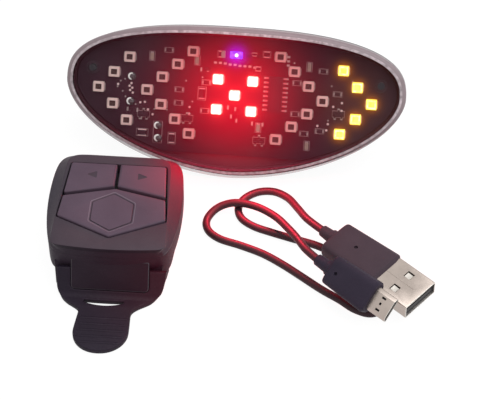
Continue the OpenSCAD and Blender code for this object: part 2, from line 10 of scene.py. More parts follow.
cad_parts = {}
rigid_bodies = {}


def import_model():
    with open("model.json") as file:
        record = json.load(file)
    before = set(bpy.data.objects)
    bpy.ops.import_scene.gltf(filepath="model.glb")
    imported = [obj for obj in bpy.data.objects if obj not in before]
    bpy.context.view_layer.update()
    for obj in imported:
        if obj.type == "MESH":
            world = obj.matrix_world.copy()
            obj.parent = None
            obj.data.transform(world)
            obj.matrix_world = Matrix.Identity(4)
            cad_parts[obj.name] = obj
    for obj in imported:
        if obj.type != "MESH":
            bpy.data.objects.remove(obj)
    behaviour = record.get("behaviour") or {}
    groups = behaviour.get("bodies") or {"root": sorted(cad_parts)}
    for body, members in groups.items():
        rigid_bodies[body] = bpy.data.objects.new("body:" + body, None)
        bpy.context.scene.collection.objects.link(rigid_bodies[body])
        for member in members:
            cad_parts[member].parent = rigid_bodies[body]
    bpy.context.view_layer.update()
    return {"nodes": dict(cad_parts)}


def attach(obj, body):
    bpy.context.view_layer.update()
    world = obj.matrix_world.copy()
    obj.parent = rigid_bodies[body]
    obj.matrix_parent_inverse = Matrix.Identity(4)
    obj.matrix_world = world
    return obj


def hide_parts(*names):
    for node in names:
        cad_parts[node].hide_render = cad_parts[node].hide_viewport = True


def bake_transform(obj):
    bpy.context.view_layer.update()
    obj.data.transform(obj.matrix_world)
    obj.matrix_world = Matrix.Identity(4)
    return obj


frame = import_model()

NODES = frame["nodes"]
SET = "set"
MM = 0.001
scene = bpy.context.scene


def turn(axis, degrees):
    return Matrix.Rotation(math.radians(degrees), 4, axis)


def show(name, data):
    """A new object in the scene."""
    obj = bpy.data.objects.new(name, data)
    scene.collection.objects.link(obj)
    return obj


# Places of the lamp, the remote and the two plugs, as in the part's source, from millimetres to metres
SCALE = Matrix.Scale(MM, 4)
LAMP_TILT = 47.71273
LAMP = SCALE @ Matrix.Translation((1.7, 25.7, 20.89)) @ turn("Z", -5.3) @ turn("X", LAMP_TILT)
REMOTE = SCALE @ Matrix.Translation((-31.1, -10.9, 0.0)) @ turn("Z", -4.2)
PLUG = SCALE @ Matrix.Translation((50.65, -37.55, 5.85)) @ turn("Z", -43.5)
MICRO = SCALE @ Matrix.Translation((37.9, -40.2, 10.07)) @ turn("Z", -42.4) @ turn("X", 40)

# Camera at the photograph's viewing angle
AIM = Vector((0.0055, 0.0024, 0.0))
CAMERA_RISE = math.radians(49.5)
CAMERA_AWAY = 0.570
FOCAL_PX = 2036.0
FRAME_PX = 500.0
SENSOR_MM = 36.0

camera_data = bpy.data.cameras.new("camera")
camera_data.sensor_width = SENSOR_MM
camera_data.lens = FOCAL_PX / FRAME_PX * SENSOR_MM
camera_data.clip_start = 0.01
camera = show("camera", camera_data)
camera.location = AIM + CAMERA_AWAY * Vector((0.0, -math.cos(CAMERA_RISE), math.sin(CAMERA_RISE)))
camera.rotation_euler = (math.pi / 2 - CAMERA_RISE, 0.0, 0.0)
scene.camera = camera
scene.view_settings.view_transform = "Standard"


# Places on the lamp's board, in millimetres

PATTERN = (-0.296, -1.969)
STEP_X, STEP_Y = 0.9875, 0.9846
BOARD_Z = 0.8
SCREWS = ((-40.29, 3.348), (40.29, 3.348))


def on_board(places):
    return [(PATTERN[0] + x * STEP_X, PATTERN[1] + y * STEP_Y) for x, y in places]


def arrow(side, tip, count, dx, dy):
    """Places of one arrow's light sources."""
    ks = [k - (count - 1) / 2 for k in range(count)]
    return on_board([(side * (tip - abs(k) * dx), k * dy) for k in ks])


OUTER_LEFT, OUTER_RIGHT = (arrow(s, 38.7, 5, 4.21, 4.5) for s in (-1, 1))
INNER_LEFT, INNER_RIGHT = (arrow(s, 24.9, 7, 4.18, 3.91) for s in (-1, 1))
BRAKE = on_board([(-4.9, 4.26), (4.9, 4.26), (0, 0), (-4.9, -4.26), (4.9, -4.26)])
CHARGE = on_board([(-0.2, 11.4)])[0]


# Materials

def spot(x, y):
    return LAMP @ Vector((x, y, 1.0))


def by_remote(x, y, z, reach):
    return REMOTE @ Vector((x, y, z)), reach


# Light that spreads in the lamp round its lit sources: place, colour, reach in metres
SPREAD = [(spot(*PATTERN), (0.76, 0.0, 0.012), 0.0136), (spot(*PATTERN), (0.042, 0.001, 0.006), 0.032),
          (spot(PATTERN[0] + 33.0, PATTERN[1]), (0.032, 0.010, 0.0), 0.0100),
          (spot(*CHARGE), (0.20, 0.0, 0.70), 0.0023)]
SPREAD += [(spot(x, y), (0.45, 0.12, 0.0), 0.0020) for x, y in OUTER_RIGHT]
SPREAD += [(spot(x, y), (0.5, 0.02, 0.02), 0.0024) for x, y in BRAKE]
RIM_SPREAD = [(spot(PATTERN[0], PATTERN[1] - 3.0), (0.40, 0.02, 0.05), 0.024)]

# Where the brake light's red and shade are painted into materials' colours: place, reach in metres
PAINTED_RED_IN_LAMP = (spot(*PATTERN), 0.023)
PAINTED_RED_AT_CORNER = by_remote(18.0, 14.5, 14.5, 0.0083)
PAINTED_SHADE_AT_LEFT = by_remote(-23.0, 3.0, 13.5, 0.0125)
PAINTED_SHADE_AT_WALL = by_remote(-21.0, -16.0, 10.5, 0.008)
PAINTED_RED_AT_RIGHT = by_remote(20.5, -1.0, 13.0, 0.009)
PAINTED_RED_AT_KEY = by_remote(12.5, 9.0, 16.9, 0.0085)
PAINTED_RED_AT_FRONT = by_remote(15.0, -18.0, 8.0, 0.015)

GRAIN_DEPTH = 0.00005
FADE = (-0.021, -0.002)


def node_tree(name):
    """A new material, its nodes, its surface shader and its object coordinates."""
    mat = bpy.data.materials.new(name)
    mat.use_nodes = True
    nt = mat.node_tree
    nt.nodes.clear()
    out = nt.nodes.new("ShaderNodeOutputMaterial")
    bsdf = nt.nodes.new("ShaderNodeBsdfPrincipled")
    nt.links.new(bsdf.outputs[0], out.inputs[0])
    return mat, nt, bsdf, nt.nodes.new("ShaderNodeTexCoord").outputs["Object"]


def feed(nt, sockets, values):
    """Sets sockets by key, each to a constant or by a link."""
    for key, v in values.items():
        if isinstance(v, bpy.types.NodeSocket):
            nt.links.new(v, sockets[key])
        else:
            sockets[key].default_value = v


def math_node(nt, kind, *values):
    n = nt.nodes.new("ShaderNodeMath")
    n.operation = kind
    feed(nt, n.inputs, dict(enumerate(values)))
    return n.outputs[0]


def vector_node(nt, kind, values):
    n = nt.nodes.new("ShaderNodeVectorMath")
    n.operation = kind
    feed(nt, n.inputs, values)
    return n.outputs["Value" if kind == "DOT_PRODUCT" else "Vector"]


def noise(nt, coords, scale, detail=3.0):
    n = nt.nodes.new("ShaderNodeTexNoise")
    feed(nt, n.inputs, {"Vector": coords, "Scale": scale, "Detail": detail, "Roughness": 0.55})
    return n.outputs["Fac"]


def span(nt, value, lo, hi, start=0.3, end=0.7):
    n = nt.nodes.new("ShaderNodeMapRange")
    feed(nt, n.inputs, {"Value": value, "From Min": start, "From Max": end, "To Min": lo, "To Max": hi})
    return n.outputs["Result"]


def blend_colour(nt, fac, a, b):
    n = nt.nodes.new("ShaderNodeMix")
    n.data_type = "RGBA"
    a, b = ((*v, 1.0) if isinstance(v, tuple) else v for v in (a, b))
    feed(nt, {s.identifier: s for s in n.inputs}, {"Factor_Float": fac, "A_Color": a, "B_Color": b})
    return next(s for s in n.outputs if s.identifier == "Result_Color")


def falloff(nt, coords, centre, reach):
    """A soft round spot: 1 at the centre, falling as a bell curve of that reach in metres."""
    off = vector_node(nt, "SUBTRACT", {0: coords, 1: centre})
    square = vector_node(nt, "DOT_PRODUCT", {0: off, 1: off})
    return math_node(nt, "EXPONENT", math_node(nt, "MULTIPLY", square, -1.0 / reach ** 2))


def add_glow(nt, bsdf, coords, gain, sources):
    total = (0.0, 0.0, 0.0)
    for centre, colour, reach in sources:
        amount = math_node(nt, "MULTIPLY", falloff(nt, coords, centre, reach), gain)
        total = vector_node(nt, "ADD", {0: total, 1: vector_node(nt, "SCALE", {0: colour, "Scale": amount})})
    feed(nt, bsdf.inputs, {"Emission Color": total, "Emission Strength": 1.0})


def surface(name, dark, light, rough, grain=2500.0, bump=0.2, mottle=120.0, metal=0.0, spec=0.5, glow=0.0,
            painted_light=()):
    """A mottled material with a fine grain. Each colour in the painted light list is blended in round a
    place, as painted red of the brake light in some places and painted shade in others. A glow adds the
    lamp's spreading light as painted emission.
    """
    mat, nt, bsdf, where = node_tree(name)
    fine = noise(nt, where, grain, 2.0)
    colour = blend_colour(nt, span(nt, noise(nt, where, mottle, 4.0), 0.0, 1.0), dark, light)
    for painted_colour, place in painted_light:
        colour = blend_colour(nt, falloff(nt, where, *place), colour, painted_colour)
    raised = nt.nodes.new("ShaderNodeBump")
    feed(nt, raised.inputs, {"Strength": bump, "Distance": GRAIN_DEPTH, "Height": fine})
    feed(nt, bsdf.inputs, {"Base Color": colour, "Roughness": span(nt, fine, *rough),
                           "Normal": raised.outputs[0], "Metallic": metal, "Specular IOR Level": spec})
    if glow:
        add_glow(nt, bsdf, where, glow, SPREAD)
    return mat


def lit(name, core, edge, strength):
    """A lit light source: brighter patches of the core colour over the edge colour."""
    mat, nt, bsdf, where = node_tree(name)
    patch = span(nt, noise(nt, where, 900.0, 1.0), 0.0, 1.0, 0.42, 0.6)
    colour = blend_colour(nt, patch, edge, core)
    feed(nt, bsdf.inputs, {"Base Color": colour, "Emission Color": colour, "Emission Strength": strength,
                           "Roughness": 0.3})
    return mat


def clear(name, colour, alpha, rough, ripple, glow=0.0, thin=1.0, shade=0.9):
    """A clear plastic, darker by `shade` in places. It thins to `thin` towards the lamp's lower edge."""
    mat, nt, bsdf, where = node_tree(name)
    wave = noise(nt, where, ripple, 2.0)
    dark = tuple(shade * c for c in colour)
    cover = span(nt, wave, *alpha)
    if thin < 1.0:
        up = (LAMP.to_3x3() @ Vector((0.0, 1.0, 0.0))).normalized()
        mid = up.dot(LAMP.translation)
        high = vector_node(nt, "DOT_PRODUCT", {0: where, 1: up})
        cover = math_node(nt, "MULTIPLY", cover, span(nt, high, thin, 1.0, mid + FADE[0], mid + FADE[1]))
    feed(nt, bsdf.inputs, {"Base Color": blend_colour(nt, span(nt, wave, 0.0, 1.0), dark, colour),
                           "Roughness": span(nt, wave, *rough), "Alpha": cover, "IOR": 1.5})
    if glow:
        add_glow(nt, bsdf, where, glow, RIM_SPREAD)
    return mat


# Ranges of roughness
MATT, DULL, SATIN = (0.55, 0.7), (0.5, 0.65), (0.3, 0.45)

# The cover's black plastic: the brake light's red is painted in at the rear right corner and along the right
# side, and shade is painted on the left slope and the left front corner.
ABS = surface("textured_abs", (0.060, 0.042, 0.056), (0.071, 0.051, 0.066), MATT, bump=0.35, spec=0.22,
              painted_light=[((0.18, 0.010, 0.032), PAINTED_RED_AT_CORNER), ((0.032, 0.027, 0.040), PAINTED_SHADE_AT_LEFT),
              ((0.026, 0.021, 0.032), PAINTED_SHADE_AT_WALL), ((0.058, 0.018, 0.030), PAINTED_RED_AT_RIGHT)])
# The keys' plastic, with the brake light's red painted in at the right key's rear corner.
KEY = surface("key_abs", (0.088, 0.059, 0.086), (0.104, 0.071, 0.102), MATT, grain=3000.0, bump=0.4,
              spec=0.22, painted_light=[((0.165, 0.066, 0.098), PAINTED_RED_AT_KEY)])
# A paler copy of the black plastic, a painted highlight on the rounded edge of the base's lug.
EDGE_HIGHLIGHT = surface("painted_edge_highlight", (0.050, 0.040, 0.050), (0.064, 0.052, 0.064), DULL, spec=0.3)
# A paler key plastic for a painted highlight on the mode key's groove; the print colour below is the arrows'
# print and also painted shade in that groove.
KEY_EDGE_HIGHLIGHT = surface("key_edge_painted_highlight", (0.15, 0.12, 0.15), (0.19, 0.15, 0.19), DULL, grain=3000.0, spec=0.3)
PRINT_AND_SHADE = surface("key_mark_and_painted_shade", (0.050, 0.037, 0.050), (0.064, 0.047, 0.063), MATT, grain=3000.0, spec=0.2)
CASE = surface("case_abs", (0.026, 0.022, 0.028), (0.036, 0.030, 0.038), (0.45, 0.62), bump=0.3, spec=0.3)
# A darker copy of the black plastic for the cover's front wall and the wall under the cover, as painted
# shade, with the brake light's red painted in at the front right.
SHADED_WALL_ABS = surface("wall_abs_painted_shade", (0.028, 0.018, 0.030), (0.038, 0.026, 0.040), MATT, bump=0.3, spec=0.2,
                   painted_light=[((0.046, 0.006, 0.016), PAINTED_RED_AT_FRONT)])
# A still darker copy of the black plastic for the base and the crease under the cover's front edge, as
# painted shade, with the brake light's red painted in at the front right.
SHADED_BODY_ABS = surface("body_abs_painted_shade", (0.016, 0.009, 0.017), (0.022, 0.013, 0.023), MATT, bump=0.3, spec=0.2,
               painted_light=[((0.026, 0.003, 0.010), PAINTED_RED_AT_FRONT)])
# The strap's silicone, with the brake light's red painted in at the front right.
RUBBER = surface("silicone", (0.013, 0.009, 0.018), (0.019, 0.013, 0.025), (0.5, 0.7), grain=1800.0,
                 bump=0.2, spec=0.2, painted_light=[((0.042, 0.006, 0.014), PAINTED_RED_AT_FRONT)])
SEAL = surface("seal_rubber", (0.02, 0.02, 0.022), (0.03, 0.03, 0.032), (0.6, 0.8), grain=1800.0)
# The board and the lamp's small parts below carry the brake light's red painted in round the brake sources,
# and a painted glow.
BOARD = surface("solder_mask", (0.026, 0.012, 0.020), (0.034, 0.017, 0.026), (0.35, 0.5), bump=0.1,
                spec=0.04, glow=1.0, painted_light=[((0.034, 0.001, 0.005), PAINTED_RED_IN_LAMP)])
# The case's inside: the case's plastic with the brake light's red painted into its colour, and a painted
# glow.
SHELF_PAINTED_RED = surface("case_shelf_painted_red", (0.040, 0.016, 0.024), (0.050, 0.022, 0.030), DULL, spec=0.05, glow=1.5)
FRAME_OFF = surface("led_frame", (0.60, 0.46, 0.43), (0.72, 0.57, 0.53), (0.4, 0.6), mottle=700.0, spec=0.2,
                    glow=1.0, painted_light=[((0.66, 0.12, 0.14), PAINTED_RED_IN_LAMP)])
WELL = surface("led_well", (0.030, 0.016, 0.016), (0.060, 0.033, 0.030), SATIN, mottle=900.0, spec=0.1,
               glow=0.3, painted_light=[((0.15, 0.020, 0.028), PAINTED_RED_IN_LAMP)])
CHIP = surface("chip_epoxy", (0.028, 0.014, 0.022), (0.036, 0.019, 0.028), (0.45, 0.6), spec=0.05,
               glow=0.82, painted_light=[((0.030, 0.004, 0.009), PAINTED_RED_IN_LAMP)])
CERAMIC = surface("ceramic", (0.20, 0.13, 0.11), (0.28, 0.19, 0.15), (0.35, 0.55), mottle=800.0, glow=0.7)
TIN_DARK = surface("tin_pad", (0.20, 0.15, 0.15), (0.30, 0.23, 0.23), SATIN, mottle=600.0, metal=0.6,
                   glow=1.2)
# Two copies of solder for the wire ends: a bright one as a painted highlight and a dark one as a painted dark
# reflection.
SOLDER_PAINTED_BRIGHT = surface("solder_painted_highlight", (0.80, 0.76, 0.74), (0.92, 0.88, 0.86), SATIN, mottle=900.0, glow=0.3)
SOLDER_PAINTED_DARK = surface("solder", (0.035, 0.025, 0.03), (0.06, 0.045, 0.05), (0.2, 0.35), mottle=900.0, glow=0.5)
INK = surface("board_ink", (0.24, 0.15, 0.16), (0.32, 0.21, 0.22), (0.5, 0.7), mottle=900.0, spec=0.2,
              glow=1.3)
PAD = surface("bright_pad", (0.52, 0.44, 0.43), (0.66, 0.57, 0.55), (0.35, 0.5), mottle=900.0, spec=0.3,
              glow=0.8, painted_light=[((0.70, 0.16, 0.20), PAINTED_RED_IN_LAMP)])
BLACK_STEEL = surface("black_steel", (0.014, 0.011, 0.014), (0.022, 0.018, 0.022), (0.4, 0.55),
                      mottle=500.0, spec=0.15)
LEAD_TIN = surface("chip_lead", (0.30, 0.19, 0.19), (0.40, 0.27, 0.27), SATIN, mottle=700.0, metal=0.3,
                   spec=0.3, glow=0.9, painted_light=[((0.55, 0.08, 0.11), PAINTED_RED_IN_LAMP)])
STEEL = surface("plated_steel", (0.45, 0.45, 0.46), (0.6, 0.6, 0.6), (0.25, 0.42), metal=1.0)
NICKEL = surface("nickel", (0.40, 0.345, 0.31), (0.47, 0.405, 0.365), (0.28, 0.38), grain=1500.0, bump=0.02,
                 mottle=200.0, metal=1.0)
GOLD = surface("gold_flash", (0.75, 0.52, 0.2), (0.85, 0.62, 0.28), (0.2, 0.35), metal=1.0)
TONGUE = surface("insulator", (0.045, 0.043, 0.046), (0.06, 0.057, 0.06), (0.4, 0.55))
GREEN = surface("green_mask", (0.02, 0.12, 0.06), (0.03, 0.17, 0.08), (0.25, 0.4))
FOIL = surface("foil", (0.5, 0.5, 0.52), (0.65, 0.65, 0.66), (0.3, 0.5), mottle=300.0, metal=1.0)
WIRE = surface("wire", (0.35, 0.02, 0.02), (0.5, 0.03, 0.03), SATIN)
MAT = surface("key_mat", (0.035, 0.032, 0.036), (0.05, 0.046, 0.05), (0.6, 0.8))
CORD = surface("cord_pvc", (0.026, 0.008, 0.013), (0.036, 0.013, 0.019), (0.42, 0.55), bump=0.05, spec=0.25)
GRIP = surface("grip_pvc", (0.050, 0.033, 0.045), (0.061, 0.041, 0.055), MATT, grain=2600.0, bump=0.3,
               spec=0.22)
GRIP_DARK = surface("grip_pvc_small", (0.022, 0.016, 0.031), (0.029, 0.021, 0.039), MATT, grain=2600.0,
                    bump=0.3, spec=0.22)
# A darker copy of the shells' metal for their insides, as painted shade; the paler spring metal below serves
# the springs and, on the shells' mouths, a painted highlight.
SHELL_INSIDE_SHADE = surface("shell_inside_painted_shade", (0.10, 0.095, 0.09), (0.14, 0.13, 0.125), (0.35, 0.5), metal=0.6)
SPRING_METAL_AND_HIGHLIGHT = surface("spring_metal_and_painted_highlight", (0.66, 0.62, 0.57), (0.76, 0.72, 0.67), SATIN, mottle=600.0, metal=0.4)
AMBER = lit("lit_amber", (0.78, 0.72, 0.07), (0.90, 0.82, 0.12), 1.0)
AMBER_CORE = lit("lit_amber_core", (1.0, 0.95, 0.40), (1.0, 0.88, 0.18), 1.0)
AMBER_EDGE = lit("lit_amber_edge", (0.98, 0.76, 0.08), (0.92, 0.60, 0.03), 0.9)
RED = lit("lit_red", (1.0, 0.97, 0.90), (1.0, 0.93, 0.82), 1.1)
RED_EDGE = lit("lit_red_edge", (1.0, 0.55, 0.45), (1.0, 0.30, 0.25), 1.0)
BLUE = lit("lit_blue", (0.42, 0.05, 0.95), (0.30, 0.02, 0.85), 1.0)
BLUE_CORE = lit("lit_blue_core", (1.0, 0.95, 1.0), (0.85, 0.65, 1.0), 1.1)
WINDOW = clear("lens_window", (0.80, 0.76, 0.80), (0.004, 0.010), (0.05, 0.10), 60.0)
# The clear lens's rim is drawn opaque in two tones, a darker outer rounding as painted shade and a pale inner
# band as a painted highlight; with the wall's inner face they carry the brake light's red painted in and a
# painted glow.
RIM_DARK = clear("lens_rim_outer", (0.280, 0.222, 0.240), (1.0, 1.0), (0.36, 0.42), 700.0, 0.3, 0.25)
RIM_PALE = clear("lens_rim_inner", (0.61, 0.525, 0.56), (0.96, 1.0), (0.3, 0.4), 800.0, 0.8, 0.75, 0.45)
LENS_WALL = clear("lens_wall", (0.05, 0.02, 0.03), (0.67, 0.73), (0.2, 0.3), 300.0, 1.1)
POST = clear("lens_post", (0.10, 0.07, 0.09), (0.04, 0.14), (0.3, 0.5), 700.0)

# The CAD's own pieces, where no piece below stands for them
for look, names in (
        (CASE, "usb_socket_tongue power_switch micro_tongue"), (SEAL, "case_seal"), (BOARD, "signal_board"),
        (BLACK_STEEL, "case_screws saddle_screws"), (WELL, "left_emitters right_inner_emitters"),
        (AMBER, "right_outer_emitters"), (RED, "brake_emitters"), (LEAD_TIN, "chip_leads"),
        (CHIP, "controller_chip chip_resistors transistors radio_chip"), (CERAMIC, "chip_capacitors"),
        (NICKEL, "usb_socket cell_clip"), (RUBBER, "port_cover power_button saddle_pad remote_pad"),
        (STEEL, "cover_pin remote_switches coin_cell remote_screws"), (FOIL, "battery"),
        (WIRE, "battery_leads"), (MAT, "key_mat"), (GREEN, "remote_board"), (TONGUE, "usb_a_tongue"),
        (GOLD, "usb_a_contacts")):
    for node in names.split():
        NODES[node].data.materials.clear()
        NODES[node].data.materials.append(look)


# Mesh helpers

def finish_mesh(name, mesh, mats, sharp=35.0):
    for m in mats:
        mesh.materials.append(m)
    mesh.polygons.foreach_set("use_smooth", [True] * len(mesh.polygons))
    mesh.set_sharp_from_angle(angle=math.radians(sharp))
    return show(name, mesh)


def stand_for(obj, body, slot, *nodes):
    """Puts a piece on its body, in place of CAD nodes if there are any. The slot is not used."""
    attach(obj, body)
    if nodes:
        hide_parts(*nodes)


def softened(node, name, mat, width):
    """A copy of a CAD node with its sharp edges rounded."""
    bm = bmesh.new()
    bm.from_mesh(NODES[node].data)
    bmesh.ops.remove_doubles(bm, verts=bm.verts, dist=2e-6)
    bmesh.ops.dissolve_limit(bm, angle_limit=math.radians(0.5), verts=bm.verts, edges=bm.edges)
    bm.normal_update()
    limit = math.radians(40.0)
    sharp = [e for e in bm.edges if len(e.link_faces) == 2 and e.calc_face_angle(0.0) > limit]
    bmesh.ops.bevel(bm, geom=sharp, offset=width * MM, segments=2, profile=0.5, affect="EDGES",
                    clamp_overlap=False)
    mesh = bpy.data.meshes.new(name)
    bm.to_mesh(mesh)
    bm.free()
    obj = finish_mesh(name, mesh, [mat])
    weigh = obj.modifiers.new("weigh", "WEIGHTED_NORMAL")
    weigh.keep_sharp = True
    return obj


# Shapes made ring by ring

class Shape:
    """Vertices, faces and material slots, gathered before they become a mesh."""

    def __init__(self):
        self.verts = []
        self.faces = []
        self.slots = []

    def add(self, points):
        start = len(self.verts)
        self.verts.extend(tuple(p) for p in points)
        return list(range(start, len(self.verts)))

    def face(self, index, slot=0):
        self.faces.append(tuple(index))
        self.slots.append(slot)

    def strip(self, a, b, slot=0):
        for i, k in enumerate(a):
            j = (i + 1) % len(a)
            self.face((k, a[j], b[j], b[i]), slot)

    def loft(self, rings, slot=0, first=True, last=True):
        """Joins rings of equal count, and closes the ends if asked. Returns the rings' indices."""
        marks = slot if isinstance(slot, list) else [slot] * (len(rings) + 1)
        index = [self.add(r) for r in rings]
        for a, b, mark in zip(index, index[1:], marks):
            self.strip(a, b, mark)
        if first:
            self.face(reversed(index[0]), marks[0])
        if last:
            self.face(index[-1], marks[-1])
        return index

    def patch(self, outer, holes=(), slot=0):
        """Fills the flat area inside one loop of vertices and outside the others."""
        loops = [outer, *holes]
        flat = [i for loop in loops for i in loop]
        polys = [[Vector(self.verts[i]) for i in loop] for loop in loops]
        for tri in tessellate_polygon(polys):
            self.face([flat[i] for i in tri], slot)

    def place(self, change):
        self.verts = [change(*v) for v in self.verts]
        return self

    def join(self, part):
        base = len(self.verts)
        self.verts += part.verts
        for face, slot in zip(part.faces, part.slots):
            self.face([base + i for i in face], slot)

    def make(self, name, place, mats):
        mesh = bpy.data.meshes.new(name)
        mesh.from_pydata([place @ Vector(v) for v in self.verts], [], self.faces)
        mesh.polygons.foreach_set("material_index", self.slots)
        bm = bmesh.new()
        bm.from_mesh(mesh)
        bmesh.ops.recalc_face_normals(bm, faces=bm.faces)
        bm.to_mesh(mesh)
        bm.free()
        return finish_mesh(name, mesh, mats)


def rounded(points, radius, steps=6):
    """A closed polygon with arcs at its corners."""
    out = []
    n = len(points)
    for i in range(n):
        p = Vector(points[i])
        a = (Vector(points[i - 1]) - p).normalized()
        b = (Vector(points[(i + 1) % n]) - p).normalized()
        half = math.acos(max(-1.0, min(1.0, a.dot(b)))) / 2
        r = radius[i] if isinstance(radius, (list, tuple)) else radius
        reach = r / math.tan(half)
        for k in range(steps + 1):
            t = k / steps
            q = (p + a * reach) * (1 - t) ** 2 + p * 2 * t * (1 - t) + (p + b * reach) * t ** 2
            out.append((q.x, q.y))
    return out


def inset(points, d):
    """The same loop drawn in by d, each point along its own normal."""
    p = np.array(points)
    run = np.roll(p, -1, 0) - np.roll(p, 1, 0)
    run /= np.linalg.norm(run, axis=1)[:, None]
    area = np.sum(p[:, 0] * np.roll(p[:, 1], -1) - np.roll(p[:, 0], -1) * p[:, 1])
    side = np.c_[-run[:, 1], run[:, 0]] * (1 if area > 0 else -1)
    return [tuple(q) for q in p + side * d]


def level(points, z):
    return [(x, y, z) for x, y in points]


def compass(n):
    """Directions all round, as cosine and sine."""
    return [(math.cos(2 * math.pi * i / n), math.sin(2 * math.pi * i / n)) for i in range(n)]


def circle(x, y, r, n=32):
    return [(x + r * c, y + r * s) for c, s in compass(n)]


def rect(x0, x1, y0, y1):
    return [(x0, y0), (x1, y0), (x1, y1), (x0, y1)]


def box(x, y, half_w, half_h):
    return rect(x - half_w, x + half_w, y - half_h, y + half_h)


def edge_at(c, s, half_x, half_y, e):
    """How far the edge of a squared oval lies from its middle, in one direction."""
    return (abs(c / half_x) ** e + abs(s / half_y) ** e) ** (-1 / e)


def prism(points, z0, z1, edge, edge_slot=0):
    """A block over a flat loop, both ends with a rounded edge."""
    turns = [(math.sin(a), math.cos(a)) for a in (0.0, math.pi / 6, math.pi / 3, math.pi / 2)]
    rings = [level(inset(points, edge * (1 - s)), z0 + edge * (1 - c)) for s, c in turns]
    rings += [level(inset(points, edge * (1 - s)), z1 - edge * (1 - c)) for s, c in reversed(turns)]
    shape = Shape()
    shape.loft(rings, [0, 0, 0, 0, edge_slot, edge_slot, edge_slot, 0])
    return shape


def carved(obj, cutters):
    """Takes the cutters' shapes out of a piece."""
    for c in cutters:
        mod = obj.modifiers.new("cut", "BOOLEAN")
        mod.operation = "DIFFERENCE"
        mod.solver = "EXACT"
        mod.object = c
    graph = bpy.context.evaluated_depsgraph_get()
    mesh = bpy.data.meshes.new_from_object(obj.evaluated_get(graph))
    obj.modifiers.clear()
    obj.data = mesh
    for c in cutters:
        bpy.data.objects.remove(c)
    mesh.set_sharp_from_angle(angle=math.radians(35.0))
    return obj


def cutter(points, z0, z1, place):
    shape = Shape()
    shape.loft([level(points, z0), level(points, z1)])
    return shape.make("cutter", place, [])


# The charging lead's cord

ROUTE = [(17.93, -29.38, 10.07), (15, -25.4, 9.4), (12.9, -21, 8.4), (10.6, -16.5, 7.1), (7, -10.8, 5.6),
         (1.8, -6.2, 4.4), (-4, -3.9, 3.4), (-8.8, -4.5, 2.1), (-11.8, -7.8, 1.2), (-11.6, -11.8, 1.2),
         (-8.4, -15, 1.2), (-2.6, -17.4, 1.2), (3.6, -20.4, 1.2), (9, -24.2, 1.2), (14.2, -28.5, 1.2),
         (19.2, -33.1, 1.7), (24, -36.9, 2.1), (28, -39.8, 1.7), (32.4, -40.8, 1.2), (36.4, -38.4, 1.2),
         (37.5, -34, 1.2), (35, -29.2, 1.2), (30, -24.8, 1.2), (24, -20.8, 1.2), (18.2, -17.4, 1.2),
         (12, -15.1, 1.2), (6, -12.8, 1.2), (1, -10.6, 1.2), (-2.4, -7.6, 1.2), (-3.2, -3.8, 1.2),
         (-1.4, -0.4, 1.2), (2.4, 1.9, 1.2), (6.8, 1.9, 1.3), (10.6, -0.9, 1.9), (13.2, -5.7, 3.2),
         (15.7, -10.8, 4.7), (19.76, -15.86, 5.85)]
SHIFT = np.array((5.5, 2.4, 0.0))
CORD_D = 2.2


def through(points, steps):
    """A smooth curve through the points."""
    p = np.array(points, float)
    p = np.vstack([p[:1], p, p[-1:]])
    out = []
    for a, b, c, d in zip(p, p[1:], p[2:], p[3:]):
        for t in np.arange(steps) / steps:
            out.append(0.5 * (2 * b + (c - a) * t + (2 * a - 5 * b + 4 * c - d) * t * t
                              + (3 * b - 3 * c + d - a) * t ** 3))
    out.append(p[-1])
    return np.array(out)


path = (through(ROUTE, 6) + SHIFT) * MM
curve = bpy.data.curves.new("lead", "CURVE")
curve.dimensions = "3D"
curve.bevel_depth = CORD_D / 2 * MM
curve.bevel_resolution = 5
curve.use_fill_caps = True
spline = curve.splines.new("POLY")
spline.points.add(len(path) - 1)
spline.points.foreach_set("co", np.c_[path, np.ones(len(path))].ravel())
spline.use_smooth = True
curve.materials.append(CORD)
lead = show("lead", curve)
stand_for(lead, SET, "cord_black", "lead_cord")


# Lamp lens: a shell lofted from the lamp's outline, with a rounded rim

HALF_W, TOP_B, LOW_B, TOP_N, LOW_N = 47.4, 16.95, 24.6, 2.63, 1.76
DOME_R, RISE, WALL = 230.0, 8.5, 1.8
RIM_R, RIM_STEPS = 1.1, 6
POST_R = 1.9
SHRINK = (0.97, 0.9, 0.8, 0.65, 0.5, 0.35, 0.2, 0.08)


def spow(v, p):
    return math.copysign(abs(v) ** p, v)


def outline(d, n=192):
    """The lamp's outline drawn in by d."""
    pts = []
    for c, s in compass(n):
        e, b = (TOP_N, TOP_B) if s >= 0 else (LOW_N, LOW_B)
        pts.append(((HALF_W - d) * spow(c, 2 / e), (b - d) * spow(s, 2 / e)))
    return pts


def dome(x, y, drop=0.0):
    return RISE - drop - DOME_R + math.sqrt(DOME_R ** 2 - x * x - y * y)


def on_dome(points, drop=0.0):
    return [(x, y, dome(x, y, drop)) for x, y in points]


